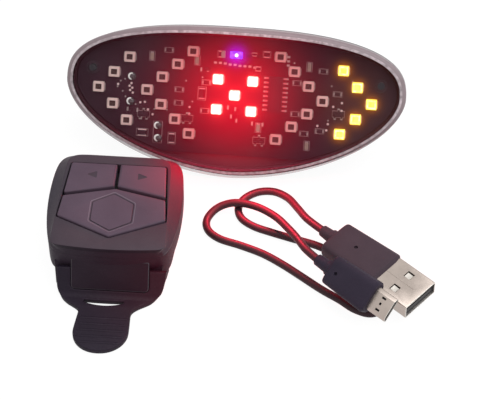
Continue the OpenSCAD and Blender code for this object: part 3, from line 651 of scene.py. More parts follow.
def lens_shell():
    shape = Shape()
    edge = outline(WALL)
    rings = [level(edge, 0.0), level(outline(0.12), 0.0), level(outline(0.0), 0.12)]
    for k in range(RIM_STEPS + 1):
        a = math.pi / 2 * k / RIM_STEPS
        rings.append(on_dome(outline(RIM_R - RIM_R * math.cos(a)), RIM_R - RIM_R * math.sin(a)))
    rings += [on_dome(outline(d)) for d in (1.5, WALL)]
    rings += [on_dome([(x * k, y * k) for x, y in edge]) for k in SHRINK]
    marks = [1] * (RIM_STEPS + 3) + [2, 2] + [0] * len(SHRINK)
    outer = shape.loft(rings, marks, first=False, last=False)
    rings = [on_dome([(x * k, y * k) for x, y in edge], WALL) for k in (1.0, *SHRINK)]
    inner = shape.loft(rings, first=False, last=False)
    shape.strip(outer[0], inner[0], 4)
    for ring, drop in ((outer[-1], 0.0), (inner[-1], WALL)):
        tip = shape.add([(0.0, 0.0, dome(0, 0, drop))])
        for a, b in zip(ring, ring[1:] + ring[:1]):
            shape.face((a, b, *tip))
    for x, y in SCREWS:
        post = circle(x, y, POST_R, 28)
        shape.loft([level(post, BOARD_Z + 0.04), level(post, 2.1), on_dome(post, WALL + 0.02)], 3)
    return shape


lens = lens_shell().make("lens_shell", LAMP, [WINDOW, RIM_DARK, RIM_PALE, POST, LENS_WALL])
stand_for(lens, SET, "clear_lens", "lens")


# Lamp case: a lofted tray with its openings cut out

PORT = (29.65, 1.0)
COVER_LOW = -6.0
BUTTON = (22.0, -2.0)
HOLE_R = 1.95


def case_tray():
    inside = [(9.0, -10.4), (8.4, -10.3), (6.3, -6.0), (6.2, -0.5), (6.0, -0.4), (2.5, -0.4), (2.4, -0.3),
              (2.4, -0.05), (2.3, 0.0)]
    outside = [(0.12, 0.0), (0.0, -0.15), (0.0, -3.5), (0.12, -4.0), (0.56, -4.58), (1.3, -5.36),
               (6.6, -10.7), (7.5, -11.5), (8.2, -11.9), (9.0, -12.0)]
    shape = Shape()
    rings = [level(outline(d), z) for d, z in inside + outside]
    index = shape.loft(rings, [1] * len(inside) + [0] * len(outside), first=False)
    shape.face(reversed(index[0]))
    return shape


case = case_tray().make("case_skin", LAMP, [CASE, SHELF_PAINTED_RED])
cuts = [cutter(rounded(box(*PORT, 1.7, 4.1), 0.5), -13.0, -9.8, LAMP),
        cutter(circle(*BUTTON, 3.62), -13.0, -9.8, LAMP)]
cuts += [cutter(circle(x, y, HOLE_R), -13.0, -5.0, LAMP) for x, y in SCREWS]
carved(case, cuts)
stand_for(case, SET, "case_black", "rear_case")


def hinge_lugs():
    shape = Shape()
    for s in (-3.4, 3.4):
        lug = prism(rounded(rect(COVER_LOW - 0.95, COVER_LOW + 0.95, -12.9, -10.6), 0.6), -0.5, 0.5, 0.12)
        shape.join(lug.place(lambda a, b, c: (PORT[0] + s + c, a, b)))
    return shape


lugs = hinge_lugs().make("hinge_lugs", LAMP, [CASE])
stand_for(lugs, SET, "case_black")


def depth(x, y):
    """How far a point of the upper half lies inside the lamp's outline."""
    low, high = 0.0, 16.0
    for k in range(40):
        d = (low + high) / 2
        inside = (abs(x) / (HALF_W - d)) ** TOP_N + (y / (TOP_B - d)) ** TOP_N < 1.0
        low, high = (d, high) if inside else (low, d)
    return low


def screw_sleeves():
    """Round pockets for the case's screws, between the sloped back and the board."""
    shape = Shape()
    for x, y in SCREWS:
        rings = []
        for r, high in ((2.7, True), (2.7, False), (HOLE_R, False), (HOLE_R, True), (2.7, True)):
            rings.append([(px, py, -0.6 if high else max(-11.2, -3.4 - depth(px, py)))
                          for px, py in circle(x, y, r, 40)])
        shape.loft(rings, first=False, last=False)
        shape.loft([level(circle(x, y, 2.5, 40), z) for z in (-0.7, -1.2)])
    return shape


sleeves = screw_sleeves().make("screw_sleeves", LAMP, [CASE])
stand_for(sleeves, SET, "case_black")
saddle = softened("post_saddle", "saddle_skin", CASE, 0.45)
stand_for(saddle, SET, "case_black", "post_saddle")


# Light sources and the board's small parts

def led_housings():
    """Square frames round the emitters, with a pad at each side."""
    shape = Shape()
    z = BOARD_Z
    for spots, side, top in ((OUTER_LEFT, 0, 0), (INNER_LEFT, 0, 0), (INNER_RIGHT, 0, 0),
                             (OUTER_RIGHT, 2, 3), (BRAKE, 4, 5)):
        for x, y in spots:
            body = rounded(box(x, y, 1.5, 1.45), 0.5 if spots is BRAKE else 0.22, 3)
            well = rounded(box(x, y, 0.88, 0.80), 0.22, 3)
            deep = rounded(box(x, y, 0.72, 0.64), 0.2, 3)
            rings = [level(body, z), level(body, z + 1.2), level(inset(body, 0.06), z + 1.34),
                     level(inset(body, 0.2), z + 1.4), level(well, z + 1.4), level(deep, z + 0.95),
                     level(deep, z)]
            index = shape.loft(rings, [side, side, side, top, top, top], first=False, last=False)
            shape.strip(index[-1], index[0], side)
            for s in (-1, 1):
                foot = box(x + s * 1.5, y, 0.3, 1.0)
                shape.loft([level(foot, z - 0.1), level(foot, z + 0.14),
                            level(inset(foot, 0.05), z + 0.18)], 1)
    return shape


leds = led_housings().make("led_housings", LAMP,
                           [FRAME_OFF, TIN_DARK, AMBER_EDGE, AMBER_CORE, RED_EDGE, RED])
stand_for(leds, SET, "led_body", "led_frames")

RESISTORS = on_board([(-8.2, 3.1), (-8.2, -5), (-15.8, 0.6), (-15.8, -3.2), (-19.3, 11.6), (17.4, 4.6),
                      (17.4, -4.2), (20.2, -9.6), (24.6, -8.6), (24.6, 8.4), (29, 2.2)])
CAPACITORS = on_board([(-11.2, 9.2), (7.2, -8.8), (20.6, 9.4), (21.2, -13), (-24, 9.6)])
TRANSISTORS = on_board([(-25.6, -7), (-13.2, -7.4), (7.6, -12.4), (29.6, -3.4)])
JOINTS = on_board([(-29.4, 3.5), (-29.5, -3.6), (-21.3, -10), (-21.1, -13.6)])
VIAS = on_board([(-11.9, -2.6), (-9.4, 4.5), (-22.6, -5.4), (-28.0, -4.4), (-32.6, 2.0), (-33.4, 0.3),
                 (-31.9, -0.9), (-31.4, 2.6), (-31.0, -2.4), (-19.0, -5.4), (-16.6, -8.2), (-14.0, 3.2),
                 (15.2, 8.0), (16.3, 10.2), (13.2, 11.0), (33.0, 6.0), (34.0, -6.0), (27.2, 4.4),
                 (26.8, -5.4)])
BRIGHT = on_board([(-29.5, 1.5), (-30.0, 0.7), (-29.2, 0.2), (-29.8, -0.5), (-29.0, -1.2), (-12.6, -4.2),
                   (-12.6, -6.1), (-25.4, -3.6), (-26.7, -3.8), (-24.4, -5.7), (-23.0, -7.0), (-33.3, 1.0),
                   (28.0, -1.4), (30.4, -0.2), (30.4, -2.4), (23.9, -7.1), (23.8, -8.9), (26.5, -8.2),
                   (26.8, -6.4)])
BARS = on_board([(-9.9, 6.7), (-8.0, 6.7), (-1.7, -3.6), (0.4, -3.9), (-0.7, -6.1), (0.9, -7.2), (5.4, -7.7),
                 (6.9, -8.0), (8.4, -7.8), (-30.2, -5.9), (-27.4, -6.0), (-26.2, -8.1)])
TRACE_ENDS = on_board([(14.6, 11.8), (14.6, 10.6), (14.6, 9.4), (-6.0, 8.9), (-4.6, 8.9), (-3.2, 8.8),
                       (-1.8, 8.6), (-0.4, 8.6), (1.0, 8.4), (2.4, 8.4), (3.8, 8.4), (5.2, 8.2)])
PARTS = {(-25.7, -12.3): (3.4, 2.2), (-17.2, -13.4): (2.2, 3.4), (-9.3, -0.1): (2.4, 3.8),
         (8.4, 12.1): (2.2, 1.9), (4.9, 11.9): (1.7, 1.0), (6.2, 7.9): (1.6, 1.4), (-4.4, 11.4): (2.2, 2.0)}
FENCE = on_board([(-21.3, -11.9)])[0]
CHIP_AT = on_board([(11.5, 1.0)])[0]
CHIP_PITCH = 1.27
SUNK = -0.05


def outlined(shape, x, y, half_w, half_h, line):
    """A thin printed frame round a small part."""
    outer = box(x, y, half_w, half_h)
    inner = inset(outer, line * 1.414)
    a, b, c, d = (shape.add(level(loop, BOARD_Z + z)) for loop, z in
                  ((outer, 0.03), (inner, 0.03), (outer, SUNK), (inner, SUNK)))
    for one, other in ((a, b), (c, a), (b, d), (d, c)):
        shape.strip(one, other, 0)


def pad(shape, x, y, half_w, half_h, high, slot=1, corner=0.0):
    loop = box(x, y, half_w, half_h)
    if corner:
        loop = rounded(loop, corner, 2)
    shape.loft([level(loop, BOARD_Z + SUNK), level(loop, BOARD_Z + high)], slot)


def stud(shape, x, y, steps, slot, n=12):
    """A round form on the board, from steps of radius and height."""
    shape.loft([level(circle(x, y, r, n), BOARD_Z + z) for r, z in steps], slot)


def board_marks():
    """Pads, plated holes and plain printed outlines round the small parts."""
    shape = Shape()
    for x, y in RESISTORS:
        outlined(shape, x, y, 1.35, 0.75, 0.1)
        for s in (-1, 1):
            pad(shape, x + s * 0.95, y, 0.22, 0.45, 0.25)
    for x, y in CAPACITORS:
        outlined(shape, x, y, 0.85, 1.4, 0.1)
        for s in (-1, 1):
            pad(shape, x, y + s * 1.0, 0.45, 0.22, 0.3)
    for x, y in TRANSISTORS:
        outlined(shape, x, y, 1.75, 0.95, 0.12)
        for dx, dy in ((-0.95, -1.3), (0.95, -1.3), (0.0, 1.3)):
            pad(shape, x + dx, y + dy, 0.32, 0.3, 0.1)
    for x, y in VIAS:
        stud(shape, x, y, ((0.24, SUNK), (0.24, 0.05), (0.10, 0.05)), 1)
    for x, y in TRACE_ENDS:
        pad(shape, x, y, 0.42, 0.3, 0.06, corner=0.1)
    for x, y in BRIGHT:
        stud(shape, x, y, ((0.34, SUNK), (0.34, 0.05), (0.2, 0.14)), 2)
    for x, y in BARS:
        pad(shape, x, y, 0.24, 0.55, 0.08, corner=0.08)
    for (x, y), (w, h) in zip(on_board(PARTS), PARTS.values()):
        outlined(shape, x, y, w / 2, h / 2, 0.12)
        body = rounded(box(x, y, 0.28 * w, 0.3 * h), 0.1, 2)
        shape.loft([level(body, BOARD_Z + SUNK), level(body, BOARD_Z + 0.5),
                    level(inset(body, 0.06), BOARD_Z + 0.56)], 3)
        for s in (-1, 1):
            pad(shape, x, y + s * 0.36 * h, 0.34 * w, 0.16, 0.3, 2)
    for x, y in SCREWS:
        stud(shape, x, y, ((1.7, -0.1), (1.7, 0.05), (1.55, 0.1)), 4, 28)
    outlined(shape, *FENCE, 1.3, 3.1, 0.1)
    for s in (-1, 1):
        for k in range(8):
            pad(shape, CHIP_AT[0] + s * 2.9, CHIP_AT[1] + (k - 3.5) * CHIP_PITCH, 0.5, 0.26, 0.08)
    return shape


marks = board_marks().make("board_marks", LAMP, [INK, TIN_DARK, PAD, CHIP, BOARD])
stand_for(marks, SET, "tin")


def wire_joints():
    """Soldered wire ends: a dome in a fillet that is open on one side, the dome painted dark and the fillet
    painted bright, as the shiny solder's painted dark reflection and painted highlight.
    """
    shape = Shape()
    for x, y in JOINTS:
        steps = ((1.15, 0.0), (1.05, 0.25), (0.75, 0.5), (0.5, 0.6), (0.42, 0.9), (0.3, 1.0))
        stud(shape, x, y, steps, 0, 24)
        arc = []
        for k in range(15):
            a = math.radians(75 + 190 * k / 14)
            w = 0.30 * math.sin(math.pi * (k + 0.8) / 15.6) ** 0.6
            mid = Vector((x + 0.85 * math.cos(a), y + 0.85 * math.sin(a), BOARD_Z + 0.42))
            out = Vector((math.cos(a), math.sin(a), 0.0))
            arc.append([mid + out * w * c + Vector((0, 0, w * s)) for c, s in compass(10)])
        shape.loft(arc, 1)
    return shape


dots = wire_joints().make("wire_joints", LAMP, [SOLDER_PAINTED_DARK, SOLDER_PAINTED_BRIGHT])
stand_for(dots, SET, "tin", "solder_joints")


def charge_light():
    shape = Shape()
    base = rounded(box(*CHARGE, 1.75, 1.0), 0.3, 3)
    shape.loft([level(base, BOARD_Z), level(base, BOARD_Z + 0.55), level(inset(base, 0.12), BOARD_Z + 0.66),
                level(inset(base, 0.3), BOARD_Z + 0.7)], 1)
    stud(shape, CHARGE[0] + 0.1, CHARGE[1],
         ((0.5, 0.65), (0.5, 0.74), (0.42, 0.82), (0.25, 0.87), (0.1, 0.88)), 0, 20)
    return shape


core = charge_light().make("charge_light", LAMP, [BLUE_CORE, BLUE])
stand_for(core, SET, "emitter_blue", "charge_led")


# Remote control

SIDE, REAR, FRONT, REAR_E, FRONT_E = 18.2, 17.2, 17.9, 9.0, 13.0
PLATE_SIDE, PLATE_REAR, PLATE_FRONT, PLATE_E = 14.9, 15.1, 18.0, 20.0
BOW = 1.5
RING = 360
COVER_LOW_Z, SLOPE_Z, SLOPE_RISE, PLATE_Z = 12.5, 13.5, 2.85, 16.5


def bowed(x, y):
    """The front edge runs back towards the corners by up to BOW."""
    return y + (BOW * (x / SIDE) ** 2 * (y / FRONT) ** 2 if y < 0 else 0.0)


def remote_ring(d, z):
    """The remote's outline drawn in by d: sides that are fullest a little behind the middle."""
    ring = []
    for c, s in compass(RING):
        e, half = (REAR_E, REAR - d) if s >= 0 else (FRONT_E, FRONT - d)
        r = edge_at(c, s, SIDE - d, half, e)
        ring.append((r * c * (1 - 0.00037 * (r * s - 2) ** 2), bowed(r * c, r * s), z))
    return ring


def plate_ring(d, z):
    """Edge of the cover's flat top, drawn in by d: straight sides that spread to the front."""
    ring = []
    for c, s in compass(RING):
        e, half = (REAR_E, PLATE_REAR - d) if s >= 0 else (PLATE_E, PLATE_FRONT - d)
        r = edge_at(c, s, PLATE_SIDE - d, half, e)
        ring.append((r * c * (1 - 0.0023 * r * s), bowed(r * c, r * s), z))
    return ring


def rays(loop, z):
    """Where rays from the middle, one for each point of the outline, meet a loop."""
    p = np.array(loop)
    q = np.roll(p, -1, 0)
    ring = []
    for c, s in compass(RING):
        side_p = p[:, 0] * s - p[:, 1] * c
        side_q = q[:, 0] * s - q[:, 1] * c
        near = p[:, 0] * c + p[:, 1] * s
        best = 0.0
        for k in np.nonzero((side_p * side_q <= 0) & (side_p != side_q))[0]:
            t = side_p[k] / (side_p[k] - side_q[k])
            best = max(best, near[k] + t * ((q[k, 0] * c + q[k, 1] * s) - near[k]))
        ring.append((best * c, best * s, z))
    return ring


OPENING = rounded([(-13.25, 12.05), (13.25, 12.05), (14.95, -7.5), (0, -14.1), (-14.95, -7.5)],
                  [0.9, 0.9, 0.8, 1.2, 0.8])


def remote_cover():
    """The cover, with its front wall painted darker as shade and a painted shade line under the plate's front
    edge.
    """
    shape = Shape()
    rings = [remote_ring(d, z) for d, z in ((0.1, COVER_LOW_Z), (0.03, 12.54), (0, 12.62), (0, 13.4))]
    low, top = np.array(remote_ring(0, SLOPE_Z)), np.array(plate_ring(0.0, SLOPE_Z + SLOPE_RISE))
    for u in (0.05, 0.12, 0.22, 0.4, 0.6, 0.8, 0.92, 1.0):
        ring = low + (top - low) * u
        ring[:, 2] = SLOPE_Z + SLOPE_RISE * (u - 0.05 * math.sin(math.pi * u) * (1 - u))
        rings.append([tuple(v) for v in ring])
    rings += [plate_ring(d, z) for d, z in ((0.05, 16.43), (0.13, 16.48), (0.24, PLATE_Z))]
    for z, d in ((PLATE_Z, -0.16), (16.46, -0.08), (16.36, -0.02), (16.2, 0.0), (13.4, 0.0)):
        rings.append(rays(inset(OPENING, d), z))
    rings += [remote_ring(2.2, 13.4), remote_ring(2.2, COVER_LOW_Z)]
    index = shape.loft(rings, first=False, last=False)
    shape.strip(index[-1], index[0])
    for k, face in enumerate(shape.faces):
        p = [Vector(shape.verts[i]) for i in face]
        normal = (p[2] - p[0]).cross(p[3] - p[1]).normalized()
        if abs(normal.y) > 0.75 and p[0].y < -15.0:
            shape.slots[k] = 2 if min(v.z for v in p) > 15.0 else 1
    return shape


cover = remote_cover().make("remote_cover", REMOTE, [ABS, SHADED_WALL_ABS, SHADED_BODY_ABS])
stand_for(cover, SET, "case_black", "remote_top")

KEY_Z = 16.9
HEXAGON_Y = -5.35


def hexagon(r):
    return [(r * s, r * c + HEXAGON_Y) for c, s in compass(6)]


def key_cap(points, radius):
    """A key with rounded edges and an open top. Returns the shape and the loop round its top."""
    shape = Shape()
    loop = rounded(points, radius)
    rings = [level(inset(loop, d) if d else loop, z) for d, z in
             ((0.0, 14.2), (0.0, 16.5), (0.05, 16.66), (0.16, 16.79), (0.32, 16.87), (0.5, KEY_Z))]
    return shape, shape.loft(rings, last=False)[-1]


def arrow_key(s):
    """A key with a shallow filled arrow in its top."""
    shape, top = key_cap([(s * 0.45, 11.8), (s * 12.95, 11.8), (s * 13.85, 0.75), (s * 0.45, 3.95)],
                         [0.5, 0.8, 0.6, 0.5])
    mark = rounded([(s * 8.4, 7.6), (s * 5.6, 8.8), (s * 5.6, 6.4)], 0.25)
    a = shape.add(level(mark, KEY_Z))
    b = shape.add(level(inset(mark, 0.05), KEY_Z - 0.08))
    shape.patch(top, [a])
    shape.strip(a, b, 1)
    shape.face(b, 1)
    return shape


def mode_key():
    """A key with a stepped hexagonal groove in its top: its outer slope takes a paler key plastic as a
    painted highlight, and its inner faces the print colour as painted shade.
    """
    shape, top = key_cap([(0, 3.05), (13.9, -0.2), (14.6, -7.3), (0, -13.75), (-14.6, -7.3), (-13.9, -0.2)],
                         [1.0, 0.6, 0.6, 1.0, 0.6, 0.6])
    steps = [shape.add(level(rounded(hexagon(r), 0.85), z)) for r, z in
             ((7.1, KEY_Z), (6.9, 16.85), (6.6, 16.82), (6.42, 16.68), (6.25, KEY_Z))]
    shape.patch(top, steps[:1])
    for a, b, slot in zip(steps, steps[1:], (2, 0, 1, 1)):
        shape.strip(a, b, slot)
    shape.face(steps[-1])
    return shape


for key, shape in (("left_button", arrow_key(-1)), ("right_button", arrow_key(1)),
                   ("mode_button", mode_key())):
    cap = shape.make(key + "_cap", REMOTE, [KEY, PRINT_AND_SHADE, KEY_EDGE_HIGHLIGHT])
    stand_for(cap, key + "_body", "key_black", key)

# The remote's base: a wall under the cover, and a block with a slanted front and a bore for the handlebar
SLANT_TOP, SLANT_LOW, SLANT_Z = -16.4, -19.7, 2.9
BLOCK_BACK, BLOCK_TOP = 15.5, 8.7
FOOT_DROP = 2.3
LIFT = 0.1
BORE_R, BORE_Z = 12.1, -5.0
LEAN = Vector((SLANT_TOP - SLANT_LOW, 8.6 - SLANT_Z)).normalized()
OUT = Vector((-LEAN.y, LEAN.x))


def block_half(y):
    return float(np.interp(y, (-21.0, -16.5, -13.5, -10.0, 17.0), (13.8, 14.6, 15.2, 15.6, 15.6)))


def along(a, b, n):
    return [(a[0] + (b[0] - a[0]) * k / n, a[1] + (b[1] - a[1]) * k / n) for k in range(n)]


def on_slant(x, s, d):
    """From the slanted front (across, up the slant, out of it) to the remote's own axes."""
    return (x, SLANT_LOW + LEAN.x * s + OUT.x * d, SLANT_Z + LEAN.y * s + OUT.y * d)


def foot_ring(d, z):
    """A ring of the wall's foot, which comes down by FOOT_DROP at the two front corners."""
    ring = []
    for x, y, foot in remote_ring(d, z):
        t = min(1.0, max(0.0, (-y - 9.0) / 5.0))
        ring.append((x, y, foot - FOOT_DROP * t * t * (3 - 2 * t)))
    return ring


def remote_body():
    shape = Shape()
    rings = [foot_ring(d, z) for d, z in ((0.9, 6.9), (0.5, 6.96), (0.24, 7.14), (0.1, 7.4), (0.04, 7.8))]
    rings += [remote_ring(d, z) for d, z in ((0.02, 12.40), (0.1, 12.46), (2.4, 12.46), (2.4, 9.6))]
    # The wall under the cover takes the darker wall plastic, as painted shade.
    shape.loft(rings, 2)
    sweep = math.degrees(math.acos(-BORE_Z / BORE_R))
    turns = [math.radians(a) for a in np.linspace(90 + sweep - 0.01, 90 - sweep + 0.01, 41)]
    bore = [(BORE_R * math.cos(a), BORE_Z + BORE_R * math.sin(a)) for a in turns]
    front = [(BLOCK_BACK, BLOCK_TOP), (SLANT_TOP, BLOCK_TOP), (SLANT_LOW, SLANT_Z), (SLANT_LOW + 3.2, LIFT),
             (bore[0][0], LIFT)]
    back = [(bore[-1][0], LIFT), (BLOCK_BACK, LIFT), front[0]]
    side = [p for a, b, n in zip(front, front[1:], (24, 8, 4, 4)) for p in along(a, b, n)] + bore
    side += [p for a, b, n in zip(back, back[1:], (3, 6)) for p in along(a, b, n)]
    rings = []
    for loop, d in ((inset(side, 0.4), 0.0), (inset(side, 0.12), 0.12), (side, 0.4)):
        rings.append([(d - block_half(y), y, z) for y, z in loop])
    rings += [[(-x, y, z) for x, y, z in r] for r in reversed(rings)]
    index = shape.loft(rings, first=False, last=False)
    shape.patch(index[0])
    shape.patch(index[-1])
    # The lug's outer rounded edge takes the paler plastic as a painted highlight.
    lug = prism(rounded(rect(-9.88, 11.08, -0.45, 8.2), [1.3, 1.3, 0.45, 0.45]), -0.5, 1.9, 0.24, 1)
    bent = [(15.0, 3.2), (17.5, 3.2), (17.5, 6.2), (16.7, 6.2), (16.7, 4.8), (15.0, 4.8)]
    hook = prism(rounded(bent, [0.2, 0.6, 0.3, 0.3, 0.3, 0.2]), -6.0, 6.0, 0.2)
    shape.join(lug.place(on_slant))
    shape.join(hook.place(lambda y, z, x: (x, y, z)))
    return shape


body = remote_body().make("remote_body", REMOTE, [SHADED_BODY_ABS, EDGE_HIGHLIGHT, SHADED_WALL_ABS])
stand_for(body, SET, "case_black", "remote_base")


# The strap: one moulded sheet, its frame on the slant, a bend, and a ribbed tab on the table

THICK, EDGE = 1.7, 0.4
TOP_S = 5.6
MID_D, FLAT_Z, BEND_R = 0.95, 1.1, 2.6
CROSS_S = (FLAT_Z - SLANT_Z - OUT.y * MID_D) / LEAN.y
BEND = math.atan2(LEAN.y, LEAN.x)
TANGENT = BEND_R * math.tan(BEND / 2)
RUN_1 = TOP_S - (CROSS_S + TANGENT)
RUN_2 = RUN_1 + BEND_R * BEND
FLAT_Y = SLANT_LOW + LEAN.x * CROSS_S + OUT.x * MID_D - TANGENT
NECK = RUN_2 + 3.4
TAB_ROUND = 6.6
TIP = RUN_2 + 17.0


def on_strap(x, q, t):
    """From the flat sheet (across, along from the top, through) to the strap's bent form."""
    if q < RUN_1:
        return on_slant(x, TOP_S - q, MID_D + t)
    if q < RUN_2:
        s = CROSS_S + TANGENT
        mid = Vector((SLANT_LOW + LEAN.x * s, SLANT_Z + LEAN.y * s)) + OUT * (MID_D + BEND_R)
        a = math.atan2(OUT.y, OUT.x) - (q - RUN_1) / BEND_R
        return (x, mid.x - (BEND_R - t) * math.cos(a), mid.y - (BEND_R - t) * math.sin(a))
    return (x - 0.045 * (q - RUN_2), FLAT_Y - (q - RUN_2), FLAT_Z + t)


def table(q, rows):
    return np.interp(q, *zip(*rows))


def strap_half(q):
    """Half of the strap's width, smoothed along it."""
    known = ((RUN_2 - 11.0, 13.75), (RUN_1 - 1.5, 13.7), (RUN_1, 13.45), (RUN_1 + 1.4, 12.75),
             (RUN_2, 11.7), (RUN_2 + 0.8, 10.75), (RUN_2 + 1.6, 9.6), (RUN_2 + 2.4, 8.35), (RUN_2 + 3.0, 7.5),
             (RUN_2 + 3.5, 7.08), (RUN_2 + 4.2, 7.0), (RUN_2 + 7.0, 7.2), (RUN_2 + 10.0, 7.4))
    return float(np.mean(table(q + np.linspace(-0.9, 0.9, 13), known)))


def strap_right(q):
    """The frame's right arm is wider than its left one."""
    wider = ((0.0, 2.0), (3.0, 1.7), (RUN_1, 0.95), (RUN_2, 0.1), (RUN_2 + 1.6, -0.3), (NECK, 0.0))
    return strap_half(q) + float(table(q, wider))


def strap_left(q):
    wider = ((RUN_1, 0.0), (RUN_2, 0.3), (RUN_2 + 1.6, 0.45), (NECK, 0.0))
    return strap_half(q) + float(table(q, wider))


def strap_outlines():
    """The flat sheet's rim, open at the top for the lug, and its slot."""
    end = TIP - TAB_ROUND
    right = [(strap_right(q), q) for q in np.linspace(0.0, end, 96)]
    w = strap_half(end)
    for k in range(1, 25):
        a = math.pi / 2 * k / 24
        right.append((w * math.cos(a) ** 0.95, end + TAB_ROUND * math.sin(a)))
    left = [(-strap_left(q) if q < NECK else -x, q) for x, q in reversed(right[:-1])]
    window = [(-9.95, 0.0), (-9.95, 4.9), (-9.6, 5.8), (-8.7, 6.2), (9.9, 6.2), (10.8, 5.8), (11.15, 4.9),
              (11.15, 0.0)]
    ks = [i / 10 for i in range(-10, 11)]
    slot = [(5.3 * k - 0.7, RUN_2 + 1.97 - 0.95 * k ** 2) for k in ks]
    slot += [(5.3 * k - 0.7, RUN_2 + 0.5 - 0.12 * k ** 2) for k in reversed(ks)]
    return right + left + window, slot


def strap_sheet():
    flat = bpy.data.curves.new("strap_flat", "CURVE")
    flat.dimensions = "2D"
    flat.fill_mode = "BOTH"
    flat.extrude = THICK / 2 - EDGE
    flat.bevel_depth = EDGE
    flat.bevel_resolution = 3
    flat.offset = -EDGE
    for loop in strap_outlines():
        line = flat.splines.new("POLY")
        line.points.add(len(loop) - 1)
        line.points.foreach_set("co", [v for x, q in loop for v in (x, -q, 0.0, 1.0)])
        line.use_cyclic_u = True
    holder = show("strap_flat", flat)
    graph = bpy.context.evaluated_depsgraph_get()
    mesh = bpy.data.meshes.new_from_object(holder.evaluated_get(graph))
    bpy.data.objects.remove(holder)
    bpy.data.curves.remove(flat)
    bm = bmesh.new()
    bm.from_mesh(mesh)
    bmesh.ops.remove_doubles(bm, verts=bm.verts, dist=1e-4)
    for q in (*np.arange(0.5, RUN_1, 0.8), *np.linspace(RUN_1, RUN_2, 14), NECK):
        everything = bm.verts[:] + bm.edges[:] + bm.faces[:]
        bmesh.ops.bisect_plane(bm, geom=everything, plane_co=(0, -q, 0), plane_no=(0, 1, 0), dist=1e-5)
    for v in bm.verts:
        v.co = REMOTE @ Vector(on_strap(v.co.x, -v.co.y, v.co.z))
    bmesh.ops.recalc_face_normals(bm, faces=bm.faces)
    bm.to_mesh(mesh)
    bm.free()
    mesh.materials.clear()
    return mesh


def strap_ribs():
    shape = Shape()
    for k in range(5):
        q = RUN_2 + 6.4 + 2.0 * k
        half = 6.6 if k < 4 else 5.6
        ends = ((half, 0.05), (half - 0.25, 0.32), (half - 0.7, 0.42))
        rings = []
        for x, w in [(-x, w) for x, w in ends] + list(reversed(ends)):
            rings.append([(x, q + w * c, THICK / 2 - 0.06 + 0.62 * w * s) for c, s in compass(12)])
        shape.loft(rings)
    return shape.place(on_strap)


strap = finish_mesh("strap", strap_sheet(), [RUBBER], 40.0)
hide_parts("strap_root", "strap_tail")
tuple(REMOTE @ Vector(on_strap(0, RUN_1, 0)))
tuple(REMOTE @ Vector(on_strap(0, RUN_2, 0)))
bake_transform(strap)
ribs = strap_ribs().make("strap_ribs", REMOTE, [RUBBER])
stand_for(ribs, "strap_tail_body", "rubber_black")


# Plugs

GRIP_X, MICRO_X = -30.7, -14.6


def section(x, half_w, half_t, e=5.0):
    ring = []
    for c, s in compass(72):
        r = edge_at(c, s, half_w, half_t, e)
        ring.append((x, r * c, r * s))
    return ring


def grip_shape(x0, x1, half_w, half_t, rear, nose):
    """A moulded plug grip, narrower towards the cord."""
    steps = [(x0 + dx, d) for dx, d in ((0.0, 0.9), (0.08, 0.5), (0.25, 0.22), (0.55, 0.06), (1.0, 0.0))]
    steps += [(x0 + 1.0 + (x1 - x0 - 1.4 - nose) * k / 7, 0.0) for k in range(1, 8)]
    steps += [(x1 - nose + nose * f, d * nose) for f, d in
              ((0.2, 0.04), (0.55, 0.35), (1.0, 0.8), (1.0, 0.95))]
    loops = []
    for x, d in steps:
        size = rear + (1 - rear) * (x - x0) / (x1 - x0)
        loops.append(section(x, half_w * size - d, half_t * size - d))
    shape = Shape()
    shape.loft(loops)
    return shape


def sleeve_shape(x0, relief):
    """The stepped sleeve where the cord leaves a grip."""
    r = CORD_D / 2
    steps = ((x0 + 0.6, 1.1), (x0 - 0.9, 1.1), (x0 - 1.05, 1.0), (x0 - 1.15, 0.72), (x0 - relief + 0.2, 0.5),
             (x0 - relief, 0.35), (x0 - relief, -0.1))
    shape = Shape()
    shape.loft([section(x, r + d, r + d, 2.0) for x, d in steps])
    return shape


grip = grip_shape(GRIP_X, -12.0, 6.75, 3.2, 0.83, 1.1).make("usb_a_grip", PLUG, [GRIP])
carved(grip, [cutter(circle(-22.94, 0, 0.55, 24), 2.2, 4.0, PLUG)])
stand_for(grip, SET, "cord_black", "usb_a_overmould")
grip = grip_shape(MICRO_X, 0.0, 4.7, 3.0, 0.88, 0.8).make("micro_grip", MICRO, [GRIP_DARK])
carved(grip, [cutter(circle(-11.7, 0, 0.5, 24), 2.0, 4.0, MICRO)])
stand_for(grip, SET, "cord_black", "micro_overmould")
sleeve = sleeve_shape(GRIP_X, 4.3).make("usb_a_sleeve", PLUG, [GRIP])
stand_for(sleeve, SET, "cord_black")
sleeve = sleeve_shape(MICRO_X, 5.0).make("micro_sleeve", MICRO, [GRIP_DARK])
stand_for(sleeve, SET, "cord_black")


def tube(face, x0, x1, wall, edge):
    """A drawn metal shell: a closed loop run along x, with its wall and rounded mouth. The mouth's rim takes
    the paler spring metal as a painted highlight, and the inside a darker metal as painted shade.
    """
    shape = Shape()
    inner = inset(face, wall)
    loops = ((x0, face), (x1 - edge, face), (x1 - edge * 0.3, inset(face, edge * 0.3)),
             (x1, inset(face, edge)), (x1, inset(face, wall - 0.03)), (x1 - 0.05, inner))
    rings = [[(x, y, z) for y, z in loop] for x, loop in loops]
    index = shape.loft(rings, [0, 2, 2, 2, 2, 2], first=False, last=False)
    deep = shape.add([(x0, y, z) for y, z in inner])
    shape.strip(index[-1], deep, 1)
    shape.strip(deep, index[0], 1)
    return shape


WINDOW_Y = 2.9

